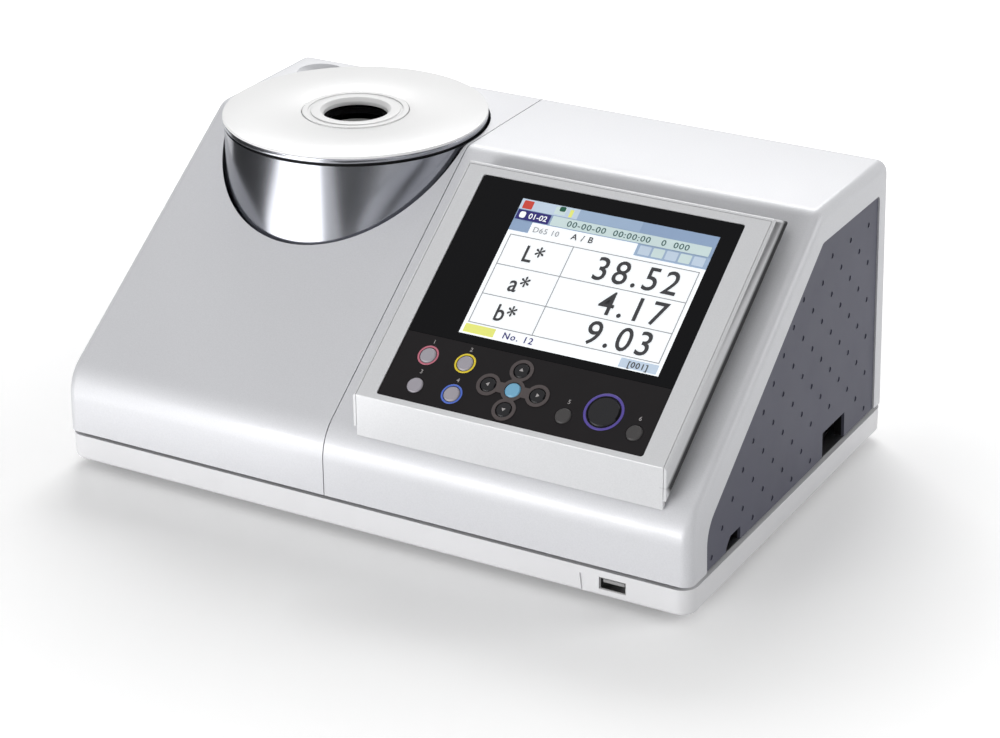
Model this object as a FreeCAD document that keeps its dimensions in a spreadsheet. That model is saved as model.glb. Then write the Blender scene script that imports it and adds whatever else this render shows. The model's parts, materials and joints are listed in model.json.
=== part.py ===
import FreeCAD, Part
import os
import re

import Sketcher

# A benchtop colorimeter: a low tray carries a fixed left cover with a chrome measuring tower,
# and a right cover with the display that slides sideways to open the transmittance chamber.
# X runs to the right, Y to the back, Z up. The feet stand on Z = 0, and X = Y = 0 is the
# middle of the footprint. Lengths are in millimetres, angles in degrees.

SIZES = {
    # Footprint and side profile of the covers
    "width": 385.0,
    "depth": 250.0,
    "foot_height": 5.0,
    "base_height": 15.2,
    "seam_gap": 2.0,
    "band_height": 33.5,
    "slope_rise": 112.3,
    "slope_run": 157.4,
    "lean": 3.4,
    "wall": 3.0,
    "cheek_wall": 4.0,
    "bend_radius": 25.0,
    "brow_radius": 13.0,
    "rear_radius": 8.0,
    "cheek_radius": 6.0,
    "left_width": 168.9,
    "seam_line": 0.6,
    # Base tray, its deck and feet
    "base_wall": 3.0,
    "base_floor": 2.0,
    "base_corner": 9.0,
    "base_edge": 3.0,
    "deck_drop": 0.7,
    "deck_thickness": 1.5,
    "deck_clearance": 0.3,
    "foot_radius": 9.0,
    "foot_tip_radius": 7.5,
    "foot_inset": 24.0,
    "post_radius": 3.5,
    "post_inset": 10.0,
    "screw_head_radius": 3.0,
    "screw_head_height": 1.6,
    "screw_sink": 0.2,
    # Circuit board in the tray and the front socket
    "board_thickness": 1.6,
    "board_rise": 1.0,
    "board_start": 3.6,
    "board_end": 27.5,
    "board_depth": 190.0,
    "spacer_radius": 3.0,
    "spacer_inset": 8.0,
    "usb_inset": 43.8,
    "usb_width": 15.4,
    "usb_height": 6.9,
    "usb_length": 14.0,
    "usb_clearance": 0.2,
    "usb_sheet": 0.5,
    "usb_tongue": 1.8,
    "usb_tongue_gap": 1.5,
    "usb_tongue_back": 1.2,
    "usb_sink": 0.6,
    "groove_offset": 16.3,
    "groove_top_width": 5.2,
    "groove_foot_width": 2.2,
    "groove_top_drop": 4.2,
    "groove_depth": 0.9,
    # Measuring tower
    "tower_inset_x": 90.6,
    "tower_inset_y": 84.0,
    "tower_radius": 74.6,
    "tower_wall": 1.5,
    "tower_cut_gap": 2.1,
    "tower_proud": 1.0,
    "deck_ring_thickness": 3.0,
    "deck_ring_clearance": 0.1,
    "groove_ring_radius": 71.5,
    "groove_ring_height": 1.9,
    "rim_height": 2.6,
    "plate_radius": 75.4,
    "plate_thickness": 1.5,
    "plate_edge": 0.5,
    "rim_width": 5.0,
    "plate_boss_radius": 36.0,
    "deck_hole_radius": 36.3,
    "mask_radius": 30.3,
    "mask_gap": 0.4,
    "mask_flange_thickness": 1.9,
    "mask_proud": 0.5,
    "mask_groove_width": 1.6,
    "mask_groove_depth": 0.7,
    "mask_step": 4.0,
    "aperture_radius": 18.2,
    "mask_lip": 2.0,
    "port_tube_wall": 1.5,
    "scoop_inset_x": 29.0,
    "scoop_inset_y": 25.0,
    "scoop_radius": 13.5,
    "scoop_depth": 5.5,
    "scoop_wall": 1.6,
    # Integrating sphere, its cradle and lamp
    "sphere_radius": 63.5,
    "sphere_wall": 3.5,
    "sphere_gap": 0.3,
    "port_frame_radius": 32.0,
    "port_frame_gap": 0.1,
    "flange_radius": 69.0,
    "flange_thickness": 3.0,
    "beam_drop": 24.0,
    "beam_radius": 13.0,
    "cradle_radius": 46.0,
    "cradle_wall": 4.0,
    "lamp_length": 70.0,
    "lamp_depth": 44.0,
    "lamp_height": 36.0,
    "lamp_inset_x": 87.5,
    "lamp_shift": 2.0,
    "lamp_wall": 2.5,
    "lamp_bore": 8.0,
    "lamp_tube_radius": 6.0,
    "capacitor_radius": 11.0,
    "capacitor_length": 46.0,
    "capacitor_inset": 25.5,
    "capacitor_edge": 1.5,
    # Transmittance chamber and the receiver behind it
    "chamber_width": 90.0,
    "bulkhead_thickness": 2.4,
    "bulkhead_gap": 1.0,
    "bulkhead_inset": 21.0,
    "bulkhead_notch": 11.0,
    "floor_thickness": 2.0,
    "floor_lip": 0.8,
    "floor_border": 6.0,
    "receiver_length": 80.0,
    "receiver_depth": 60.0,
    "receiver_height": 54.0,
    "receiver_wall": 2.5,
    "receiver_offset": 4.0,
    "lid_thickness": 2.0,
    "snout_length": 9.5,
    "snout_radius": 12.8,
    "snout_bore": 10.6,
    "lens_radius": 10.55,
    "lens_thickness": 3.0,
    "stand_inset": 8.0,
    "stand_sheet": 3.0,
    "stand_board_gap": 9.9,
    "grating_width": 26.0,
    "grating_thickness": 6.0,
    "sensor_size": 34.0,
    "sensor_inset": 20.0,
    "sensor_chip": 20.0,
    "sensor_chip_height": 2.4,
    # Rails and runners of the sliding cover
    "slide_travel": 90.0,
    "rail_inset": 13.0,
    "rail_start": 4.6,
    "rail_end": 10.5,
    "rail_web": 3.0,
    "rail_neck": 3.6,
    "rail_head": 8.0,
    "rail_head_height": 2.4,
    "runner_start": 11.6,
    "runner_length": 82.0,
    "runner_gap": 0.35,
    "runner_lift": 1.2,
    "runner_height": 8.0,
    "runner_inset": 19.4,
    "stop_length": 4.0,
    "stop_width": 4.0,
    "stop_height": 7.0,
    "stop_gap": 0.5,
    # Side panel and what stands behind its notches
    "panel_thickness": 1.7,
    "panel_reveal": 0.9,
    "panel_gap": 0.5,
    "panel_brow": 17.5,
    "panel_back": 13.5,
    "panel_front": 19.5,
    "panel_front_rise": 24.5,
    "panel_brow_shift": 2.1,
    "panel_bend_radius": 20.0,
    "panel_brow_radius": 5.0,
    "panel_corner_radius": 3.0,
    "dimple_radius": 1.5,
    "dimple_depth": 0.6,
    "dimple_pitch": 24.6,
    "dimple_row": 11.0,
    "dimple_margin": 5.5,
    "rear_notch_inset": 54.0,
    "rear_notch_width": 30.0,
    "rear_notch_height": 14.8,
    "front_notch_inset": 44.0,
    "front_notch_width": 17.0,
    "front_notch_height": 7.3,
    "front_notch_slope": 5.0,
    "socket_face": 5.0,
    "side_board_width": 26.0,
    "side_board_lift": 0.5,
    "side_board_end": 4.0,
    "rocker_width": 12.0,
    "rocker_radius": 5.6,
    "rocker_dip": 1.4,
    "rocker_splay": 19.2,
    "rocker_gap": 0.35,
    "rocker_pin_radius": 1.2,
    "rocker_pin_length": 1.2,
    "rocker_pin_clearance": 0.05,
    "rocker_frame_wall": 1.6,
    "rocker_frame_depth": 14.0,
    "jack_width": 10.0,
    "jack_height": 11.0,
    "jack_length": 14.0,
    "jack_bore": 3.0,
    "jack_floor": 3.0,
    "jack_pin": 1.0,
    "data_width": 11.0,
    "data_height": 7.0,
    "data_length": 15.0,
    "data_sheet": 1.0,
    "data_tongue_width": 3.6,
    "data_tongue_height": 2.4,
    # Display unit on the slope: X, distance up the slope and height over the slope
    "unit_start": 17.1,
    "unit_inset": 17.0,
    "unit_end": 172.5,
    "unit_far_run": 12.0,
    "unit_height": 20.0,
    "unit_lip": 1.5,
    "unit_round": 1.3,
    "crease": 20.4,
    "neck_height": 5.0,
    "neck_inset": 9.0,
    "neck_lift": 0.3,
    "neck_start": 16.0,
    "bezel_plate": 2.5,
    "bezel_round": 1.2,
    "bezel_foot": 0.9,
    "parting": 0.3,
    "glass_border_left": 12.5,
    "glass_border_right": 14.5,
    "glass_border_front": 3.2,
    "glass_border_end": 6.5,
    "glass_corner": 1.6,
    "keypad_depth": 40.7,
    "glass_sink": 0.6,
    "glass_thickness": 2.0,
    "glass_gap": 0.2,
    "tub_wall": 3.0,
    "tub_floor": 2.0,
    "module_border_left": 20.0,
    "module_border_right": 2.5,
    "module_border_front": 2.2,
    "module_border_end": 4.0,
    "module_gap": 0.3,
    # Keys
    "key_radius": 4.4,
    "arrow_radius": 4.3,
    "measure_radius": 8.6,
    "key_gap": 0.3,
    "key_proud": 0.7,
    "key_dome": 0.6,
    "key_flange": 0.7,
    "key_flange_thickness": 1.4,
    "key_seat_gap": 0.3,
    "key_stem_share": 0.6,
    "key_stem": 2.6,
    "key_travel": 1.0,
    "key_rest_gap": 0.2,
    "switch_radius": 2.4,
    "lobe_radius": 6.5,
    "lobe_bar": 6.0,
    "lobe_height": 0.4,
    # Overrun of every cut
    "overrun": 2.0,
}

# Key name: place across as a share of the window's width, place up it, name of its radius
KEY_PLACES = {
    "key_pink": ("key_1_share", "key_1_up", "key_radius"),
    "key_yellow": ("key_2_share", "key_2_up", "key_radius"),
    "key_plain": ("key_3_share", "key_3_up", "key_radius"),
    "key_blue": ("key_4_share", "key_4_up", "key_radius"),
    "key_up": ("pad_share", "pad_up + pad_pitch", "arrow_radius"),
    "key_down": ("pad_share", "pad_up - pad_pitch", "arrow_radius"),
    "key_left": ("pad_share - pad_reach_share", "pad_up", "arrow_radius"),
    "key_right": ("pad_share + pad_reach_share", "pad_up", "arrow_radius"),
    "key_centre": ("pad_share", "pad_up", "arrow_radius"),
    "key_back": ("key_5_share", "key_5_up", "key_radius"),
    "key_measure": ("key_6_share", "key_6_up", "measure_radius"),
    "key_print": ("key_7_share", "key_7_up", "key_radius"),
}

SIZES.update({
    "key_1_share": 0.1161,
    "key_1_up": 28.6,
    "key_2_share": 0.2587,
    "key_2_up": 28.8,
    "key_3_share": 0.1206,
    "key_3_up": 10.1,
    "key_4_share": 0.2626,
    "key_4_up": 9.9,
    "pad_share": 0.4665,
    "pad_up": 19.9,
    "pad_pitch": 11.9,
    "pad_reach_share": 0.0929,
    "key_5_share": 0.6755,
    "key_5_up": 12.3,
    "key_6_share": 0.8052,
    "key_6_up": 19.6,
    "key_7_share": 0.9361,
    "key_7_up": 12.1,
})

# Places that follow from the sizes: each is a cell with its own sum
PLACES = {
    "seam_x": "width / 2 - left_width",
    "board_left": "board_start - seam_x",
    "board_right": "width / 2 - board_end",
    "usb_x": "width / 2 - usb_inset",
    "groove_x": "usb_x - groove_offset",
    "tower_x": "tower_inset_x - width / 2",
    "tower_y": "depth / 2 - tower_inset_y",
    "scoop_x": "scoop_inset_x - width / 2",
    "scoop_y": "depth / 2 - scoop_inset_y",
    "lamp_x": "lamp_inset_x - width / 2",
    "lamp_y": "(tower_y - tower_radius - depth / 2) / 2 + lamp_shift",
    "capacitor_x": "capacitor_inset - width / 2",
    "capacitor_y": "lamp_y",
    "bulkhead_seat": "depth / 2 - bulkhead_inset",
    "rail_y": "depth / 2 - rail_inset",
    "rail_left": "rail_start - seam_x",
    "rail_right": "width / 2 - rail_end",
    "runner_left": "runner_start - seam_x",
    "runner_inner": "depth / 2 - runner_inset",
    "panel_brow_y": "slope_run - depth / 2 + panel_brow_shift",
    "rear_notch_back": "depth / 2 - rear_notch_inset",
    "rear_notch_front": "rear_notch_back - rear_notch_width",
    "front_notch_front": "front_notch_inset - depth / 2",
    "front_notch_back": "front_notch_front + front_notch_width",
    "unit_left": "unit_start - seam_x",
    "unit_right": "width / 2 - unit_inset",
    "glass_left": "unit_left + glass_border_left",
    "glass_right": "unit_right - glass_border_right",
    "glass_width": "glass_right - glass_left",
    "pad_reach": "pad_reach_share * glass_width",
    "glass_front": "crease + glass_border_front",
    "glass_end": "unit_end - glass_border_end",
    "glass_split": "glass_front + keypad_depth",
    "module_left": "glass_left + module_border_left",
    "module_right": "glass_right - module_border_right",
    "module_front": "glass_split + module_border_front",
    "module_end": "glass_end - module_border_end",
}

# Key name: place across, place up the slope, name of its radius
KEYS = {
    name: (f"(glass_left + ({share}) * glass_width)", f"(glass_front + {up})", radius)
    for name, (share, up, radius) in KEY_PLACES.items()
}

# Heights, places and the slope, worked out from the sizes above
BASE_TOP = "(foot_height + base_height)"
FLOOR_TOP = "(foot_height + base_floor)"
DECK_TOP = f"({BASE_TOP} - deck_drop)"
COVER_FLOOR = f"({BASE_TOP} + seam_gap)"
BEND = f"({COVER_FLOOR} + band_height)"
SHELL_TOP = f"({BEND} + slope_rise)"
STEEPNESS = "(slope_rise / slope_run)"
SLOPE = f"atan{STEEPNESS}"
SLOPE_COS = f"cos({SLOPE})"
SLOPE_SIN = f"sin({SLOPE})"
LEAN_ANGLE = f"atan(lean / ({SHELL_TOP} - foot_height))"
TOWER_TOP = f"({SHELL_TOP} - tower_proud)"
RIM_FOOT = f"({TOWER_TOP} + groove_ring_height)"
PLATE_FOOT = f"({RIM_FOOT} + rim_height)"
PLATE_TOP = f"({PLATE_FOOT} + plate_thickness)"
SPHERE_TOP = f"({TOWER_TOP} - deck_ring_thickness - sphere_gap)"
SPHERE_Z = f"({SPHERE_TOP} - sphere_radius)"
BEAM_Z = f"({SPHERE_Z} - beam_drop)"
CHAMBER_LEFT = "(-seam_x - seam_line)"
CHAMBER_RIGHT = f"({CHAMBER_LEFT} + chamber_width)"
GLASS_TOP = "(unit_height - glass_sink)"
GLASS_FOOT = f"({GLASS_TOP} - glass_thickness)"
TUB_FLOOR = "(neck_height + tub_floor)"
KEY_FLANGE_TOP = f"({GLASS_FOOT} - key_seat_gap)"
KEY_FLANGE_FOOT = f"({KEY_FLANGE_TOP} - key_flange_thickness)"
KEY_FOOT = f"({KEY_FLANGE_FOOT} - key_stem)"
SWITCH_TOP = f"({KEY_FOOT} - key_travel - key_rest_gap)"
SOCKET_FOOT = f"({DECK_TOP} + side_board_lift + board_thickness)"
SOCKET_X = "(width / 2 - lean - cheek_wall - socket_face)"
CHEEK_FOOT = f"(width / 2 + foot_height * lean / ({SHELL_TOP} - foot_height))"

WORD = re.compile(r"[a-z][a-z_0-9]*")
# How near a point lies to a place to count as there
SNAP = 0.0001

doc = FreeCAD.newDocument("Colorimeter")
sheet = doc.addObject("Spreadsheet::Sheet", "Sizes")
for row, (alias, content) in enumerate({**SIZES, **PLACES}.items(), 1):
    sheet.set(f"A{row}", alias)
    sheet.set(f"B{row}", f"={content}")
    sheet.setAlias(f"B{row}", alias)
doc.recompute()

nodes = []


def bound(text):
    """The text of a size, with each name replaced by its cell."""
    known = {**SIZES, **PLACES}
    return WORD.sub(lambda word: "Sizes." + word[0] if word[0] in known else word[0], str(text))


def value(text):
    """The number that the text of a size gives now."""
    found = sheet.evalExpression(bound(text))
    return float(getattr(found, "Value", found))


def bind(thing, **sizes):
    """Tie properties of an object to texts of sizes."""
    for name, text in sizes.items():
        thing.setExpression(name, bound(text))
    return thing


def place(thing, x="0", y="0", z="0"):
    """Tie the place of an object to texts of sizes."""
    for axis, text in zip("xyz", (x, y, z)):
        thing.setExpression(f"Placement.Base.{axis}", bound(text))
    return thing


def keep(thing, name):
    """Name a finished sub-part."""
    thing.Label = name
    nodes.append(thing)
    return thing


def new_body(name):
    """An empty body under the name of its sub-part."""
    return keep(doc.addObject("PartDesign::Body", "Body_" + name), name)


def attach(thing, body, plane, lift="0", tilt=None):
    """Lay a sketch on a plane of its body, lifted, and tilted about its own X axis."""
    planes = [each for each in body.Origin.OriginFeatures if each.Role == plane]
    thing.AttachmentSupport = [(planes[0], "")]
    thing.MapMode = "FlatFace"
    if tilt:
        turn = FreeCAD.Rotation(FreeCAD.Vector(1, 0, 0), value(tilt))
        thing.AttachmentOffset = FreeCAD.Placement(FreeCAD.Vector(), turn)
    thing.setExpression("AttachmentOffset.Base.z", bound(lift))
    return thing


def pin_down(sketch, element, position, x, y):
    """Hold one point of a sketch at a place given by texts of sizes."""
    for kind, text in (("DistanceX", x), ("DistanceY", y)):
        number = value(text)
        rule = Sketcher.Constraint(kind, -1, 1, element, position, number)
        index = sketch.addConstraint(rule)
        sketch.setExpression(f"Constraints[{index}]", bound(text))


def sketch_on(body, name, plane, points=(), circles=(), lift="0", tilt=None):
    """A sketch of one closed outline of straight lines and any number of circles."""
    sketch = body.newObject("Sketcher::SketchObject", name)
    attach(sketch, body, plane, lift, tilt)
    places = [FreeCAD.Vector(value(x), value(y), 0) for x, y in points]
    count = len(places)
    for index, start in enumerate(places):
        sketch.addGeometry(Part.LineSegment(start, places[(index + 1) % count]), False)
    for index in range(count):
        sketch.addConstraint(Sketcher.Constraint("Coincident", index, 2, (index + 1) % count, 1))
    for index, (x, y) in enumerate(points):
        pin_down(sketch, index, 1, x, y)
    for x, y, radius in circles:
        centre = FreeCAD.Vector(value(x), value(y), 0)
        normal = FreeCAD.Vector(0, 0, 1)
        index = sketch.addGeometry(Part.Circle(centre, normal, value(radius)), False)
        pin_down(sketch, index, 3, x, y)
        rule = sketch.addConstraint(Sketcher.Constraint("Radius", index, value(radius)))
        sketch.setExpression(f"Constraints[{rule}]", bound(radius))
    sketch.Visibility = False
    return sketch


def rectangle(left, low, right, high):
    """The four corners of a rectangle."""
    return [(left, low), (right, low), (right, high), (left, high)]


def pad(body, sketch, length, backwards=False):
    """Extrude a sketch along its normal, or against it."""
    feature = body.newObject("PartDesign::Pad", "Pad")
    feature.Profile = sketch
    feature.Reversed = backwards
    bind(feature, Length=length)
    doc.recompute()
    return feature


def pocket(body, sketch, length=None, backwards=False):
    """Cut a sketch to a depth against its normal, or right through both ways."""
    before = body.Shape.Volume
    feature = body.newObject("PartDesign::Pocket", "Pocket")
    feature.Profile = sketch
    feature.Reversed = backwards
    if length is None:
        feature.Type = "ThroughAll"
        feature.Midplane = True
    else:
        bind(feature, Length=length)
    doc.recompute()
    if not feature.Shape.Volume < before:
        raise RuntimeError(f"{body.Label}: a cut removed nothing")
    return feature


def rounding(body, edges, radius, kind="Fillet"):
    """Round or bevel the named edges of the last feature of a body."""
    last = body.Tip
    feature = body.newObject("PartDesign::" + kind, kind)
    feature.Base = (last, edges)
    bind(feature, **{"Radius" if kind == "Fillet" else "Size": radius})
    doc.recompute()
    if not edges or feature.Shape.isNull():
        raise RuntimeError(f"{body.Label}: an edge was not rounded")
    return feature


def edges_where(shape, test):
    """Names of the edges whose two ends both pass a test."""
    return [
        f"Edge{index}"
        for index, edge in enumerate(shape.Edges, 1)
        if len(edge.Vertexes) == 2 and all(test(end.Point) for end in edge.Vertexes)
    ]


def upright_edges(shape, test=lambda point: True):
    """Names of the straight upright edges whose two ends both pass a test."""
    names = []
    for name in edges_where(shape, test):
        start, end = [vertex.Point for vertex in shape.getElement(name).Vertexes]
        if (end - start).normalize().isEqual(FreeCAD.Vector(0, 0, 1), SNAP) or (
                start - end).normalize().isEqual(FreeCAD.Vector(0, 0, 1), SNAP):
            names.append(name)
    return names


def at(number, text):
    """Whether a coordinate lies at a size."""
    return abs(number - value(text)) < SNAP


def beside(number, text):
    """Whether a coordinate lies within half the panel's gap of a size."""
    return abs(number - value(text)) < value("panel_gap / 2")


def lathe(name, points, x="0", y="0", z="0"):
    """A sub-part turned about its own Z axis from an outline of radius and height."""
    body = new_body(name)
    turned(body, points)
    return place(body, x, y, z)


def turned(body, points):
    """Revolve an outline of radius and height about the Z axis of a body."""
    feature = body.newObject("PartDesign::Revolution", "Revolution")
    feature.Profile = sketch_on(body, "Outline", "XZ_Plane", points)
    feature.ReferenceAxis = (feature.Profile[0], ["V_Axis"])
    feature.Angle = 360.0
    doc.recompute()
    return feature


def block(name, left, front, low, length, width, height):
    """A plain block with its low left front corner at a place."""
    box = doc.addObject("Part::Box", "Block_" + name)
    bind(box, Length=length, Width=width, Height=height)
    return place(box, left, front, low)


def rod(name, x, y, z, radius, height, axis=None):
    """A plain round rod that starts at a place, upright or along an axis."""
    cylinder = doc.addObject("Part::Cylinder", "Rod_" + name)
    bind(cylinder, Radius=radius, Height=height)
    if axis:
        turn = FreeCAD.Rotation(FreeCAD.Vector(0, 0, 1), axis)
        cylinder.Placement = FreeCAD.Placement(FreeCAD.Vector(), turn)
    return place(cylinder, x, y, z)


def fused(name, parts):
    """Several solids joined into one."""
    joined = doc.addObject("Part::MultiFuse", "Fuse_" + name)
    joined.Shapes = parts
    joined.Refine = True
    return joined


def cut(name, base, tools):
    """A solid less other solids."""
    result = doc.addObject("Part::Cut", "Cut_" + name)
    result.Base = base
    result.Tool = tools[0] if len(tools) == 1 else fused(name + "_tools", tools)
    return result


def group(name, parts):
    """Several separate solids under one name."""
    compound = doc.addObject("Part::Compound", "Group_" + name)
    compound.Links = parts
    return keep(compound, name)


def corners(inset_x, inset_y):
    """Four places, one near each corner of the footprint."""
    return [
        (f"{side} * (width / 2 - {inset_x})", f"{end} * (depth / 2 - {inset_y})")
        for side in (-1, 1)
        for end in (-1, 1)
    ]


def on_slope(body):
    """Seat a body on the slope: X across, Y up the slope, Z out of it."""
    turn = FreeCAD.Rotation(FreeCAD.Vector(1, 0, 0), value(SLOPE))
    body.Placement = FreeCAD.Placement(FreeCAD.Vector(), turn)
    bind(body, **{"Placement.Rotation.Angle": SLOPE})
    return place(body, "0", "-depth / 2", BEND)


def at_slope(body, x, up):
    """Seat a round body on the slope at a place across and up it."""
    on_slope(body)
    return place(body, x, f"-depth / 2 + ({up}) * {SLOPE_COS}", f"{BEND} + ({up}) * {SLOPE_SIN}")


def profile(inset, low=COVER_FLOOR):
    """Side profile of the covers, moved inwards, as points of Y and Z."""
    front = f"(-depth / 2 + {inset})"
    back = f"(depth / 2 - {inset})"
    top = f"({SHELL_TOP} - {inset})"
    bend = f"({BEND} + {inset} * {STEEPNESS} - {inset} / {SLOPE_COS})"
    brow = f"(-depth / 2 + ({top} - {BEND} + {inset} / {SLOPE_COS}) / {STEEPNESS})"
    return [(front, low), (back, low), (back, top), (brow, top), (front, bend)]


def round_profile(body, inset):
    """Round the three long bends of a profile that was moved inwards."""
    points = profile(inset)
    bends = ((points[4], "bend_radius"), (points[3], "brow_radius"), (points[2], "rear_radius"))
    for (y, z), radius in bends:
        edges = edges_where(body.Shape, lambda point: at(point.y, y) and at(point.z, z))
        rounding(body, edges, f"{radius} - {inset}")


def cover_shell(body, side, start, open_end=True):
    """Hollow cover that runs from a seam out to the left (-1) or right (1) side of the object."""
    leftwards = side < 0
    outer = sketch_on(body, "Profile", "YZ_Plane", profile("0"), lift=start)
    pad(body, outer, f"width / 2 - {side} * ({start})", leftwards)
    lean_line = [
        (f"{side} * width / 2", "foot_height"),
        (f"{side} * (width / 2 + lean)", "foot_height"),
        (f"{side} * (width / 2 + lean)", f"{SHELL_TOP} + overrun"),
        (f"{side} * (width / 2 - lean * (1 + overrun / ({SHELL_TOP} - foot_height)))",
         f"{SHELL_TOP} + overrun"),
    ]
    pocket(body, sketch_on(body, "Lean", "XZ_Plane", lean_line))
    round_profile(body, "0")
    cheek = max(body.Shape.Faces, key=lambda face: side * face.CenterOfMass.x)
    rim = [
        f"Edge{index}"
        for index, edge in enumerate(body.Shape.Edges, 1)
        if any(edge.isSame(other) for other in cheek.Edges)
        and not all(at(end.Z, COVER_FLOOR) for end in edge.Vertexes)
    ]
    rounding(body, rim, "cheek_radius")
    inner = sketch_on(body, "Inside", "YZ_Plane", profile("wall"), lift=start)
    pocket(body, inner, f"width / 2 - {side} * ({start}) - lean - cheek_wall", not leftwards)
    round_profile(body, "wall")


def base_shell():
    """The tray: floor, four walls, rounded corners, front socket slot and groove."""
    body = new_body("base_shell")
    outer = rectangle("-width / 2", "-depth / 2", "width / 2", "depth / 2")
    pad(body, sketch_on(body, "Footprint", "XY_Plane", outer, lift="foot_height"), "base_height")
    rounding(body, upright_edges(body.Shape), "base_corner")
    rounding(body, edges_where(body.Shape, lambda end: at(end.z, "foot_height")), "base_edge")
    side = "(width / 2 - base_wall)"
    end = "(depth / 2 - base_wall)"
    inner = rectangle(f"-{side}", f"-{end}", side, end)
    pocket(body, sketch_on(body, "Inside", "XY_Plane", inner, lift=BASE_TOP),
           "base_height - base_floor")
    inside = upright_edges(body.Shape, lambda point: at(abs(point.x), side))
    rounding(body, inside, "base_corner - base_wall")
    board_top = f"({FLOOR_TOP} + board_rise + board_thickness)"
    slot = rectangle("usb_x - usb_width / 2", board_top, "usb_x + usb_width / 2",
                     f"{board_top} + usb_height")
    pocket(body, sketch_on(body, "Slot", "XZ_Plane", slot, lift="depth / 2"),
           "base_wall + overrun")
    groove = [
        ("groove_x - groove_foot_width / 2", "foot_height - overrun"),
        ("groove_x + groove_foot_width / 2", "foot_height - overrun"),
        ("groove_x + groove_top_width / 2", f"{BASE_TOP} - groove_top_drop"),
        ("groove_x - groove_top_width / 2", f"{BASE_TOP} - groove_top_drop"),
    ]
    pocket(body, sketch_on(body, "Groove", "XZ_Plane", groove, lift="depth / 2"), "groove_depth")
    holes = [(x, y, "screw_head_radius + screw_sink") for x, y in corners("post_inset", "post_inset")]
    pocket(body, sketch_on(body, "ScrewSeats", "XY_Plane", circles=holes, lift="foot_height"),
           "screw_head_height - screw_sink", True)


def feet():
    """Four rubber feet."""
    solids = []
    for index, (x, y) in enumerate(corners("foot_inset", "foot_inset")):
        foot = doc.addObject("Part::Cone", f"Foot{index}")
        bind(foot, Radius1="foot_tip_radius", Radius2="foot_radius", Height="foot_height")
        solids.append(place(foot, x, y, "0"))
    group("rubber_feet", solids)


def deck():
    """The steel deck in the tray, the posts under it and the screws from below."""
    edge_x = "(width / 2 - base_wall - deck_clearance)"
    edge_y = "(depth / 2 - base_wall - deck_clearance)"
    body = new_body("chassis_plate")
    outer = rectangle(f"-{edge_x}", f"-{edge_y}", edge_x, edge_y)
    pad(body, sketch_on(body, "Sheet", "XY_Plane", outer, lift=DECK_TOP), "deck_thickness", True)
    rounding(body, upright_edges(body.Shape), "base_corner - base_wall")
    posts = [
        rod(f"post{index}", x, y, FLOOR_TOP, "post_radius",
            f"{DECK_TOP} - deck_thickness - {FLOOR_TOP}")
        for index, (x, y) in enumerate(corners("post_inset", "post_inset"))
    ]
    group("chassis_posts", posts)
    screws = [
        rod(f"screw{index}", x, y, "foot_height + screw_sink", "screw_head_radius",
            "screw_head_height - 2 * screw_sink")
        for index, (x, y) in enumerate(corners("post_inset", "post_inset"))
    ]
    group("base_screws", screws)


def tray_board():
    """The main circuit board on its spacers, and the front socket that it carries."""
    low = f"({FLOOR_TOP} + board_rise)"
    front = "(-depth / 2 + base_wall + usb_clearance)"
    keep(block("board", "board_left", front, low, "board_right - board_left", "board_depth",
               "board_thickness"), "main_board")
    spacers = [
        rod(f"spacer{index}", x, y, FLOOR_TOP, "spacer_radius", "board_rise")
        for index, (x, y) in enumerate(
            (x, y)
            for x in ("board_left + spacer_inset", "board_right - spacer_inset")
            for y in (f"{front} + spacer_inset", f"{front} + board_depth - spacer_inset")
        )
    ]
    group("board_spacers", spacers)
    body = new_body("usb_socket")
    foot = f"({low} + board_thickness)"
    half = "(usb_width / 2 - usb_clearance)"
    top = f"({foot} + usb_height - usb_clearance)"
    face = "(depth / 2 - usb_sink)"
    outer = rectangle(f"usb_x - {half}", foot, f"usb_x + {half}", top)
    pad(body, sketch_on(body, "Shell", "XZ_Plane", outer, lift=face), "usb_length", True)
    mouth = rectangle(f"usb_x - {half} + usb_sheet", f"{foot} + usb_sheet",
                      f"usb_x + {half} - usb_sheet", f"{top} - usb_sheet")
    pocket(body, sketch_on(body, "Mouth", "XZ_Plane", mouth, lift=face), "usb_length - usb_sheet")
    tongue = rectangle(f"usb_x - {half} + usb_tongue_gap", f"{top} - usb_tongue_gap - usb_tongue",
                       f"usb_x + {half} - usb_tongue_gap", f"{top} - usb_tongue_gap")
    pad(body, sketch_on(body, "Tongue", "XZ_Plane", tongue, lift=f"{face} - usb_tongue_back"),
        "usb_length - usb_tongue_back - usb_sheet / 2", True)


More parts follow.
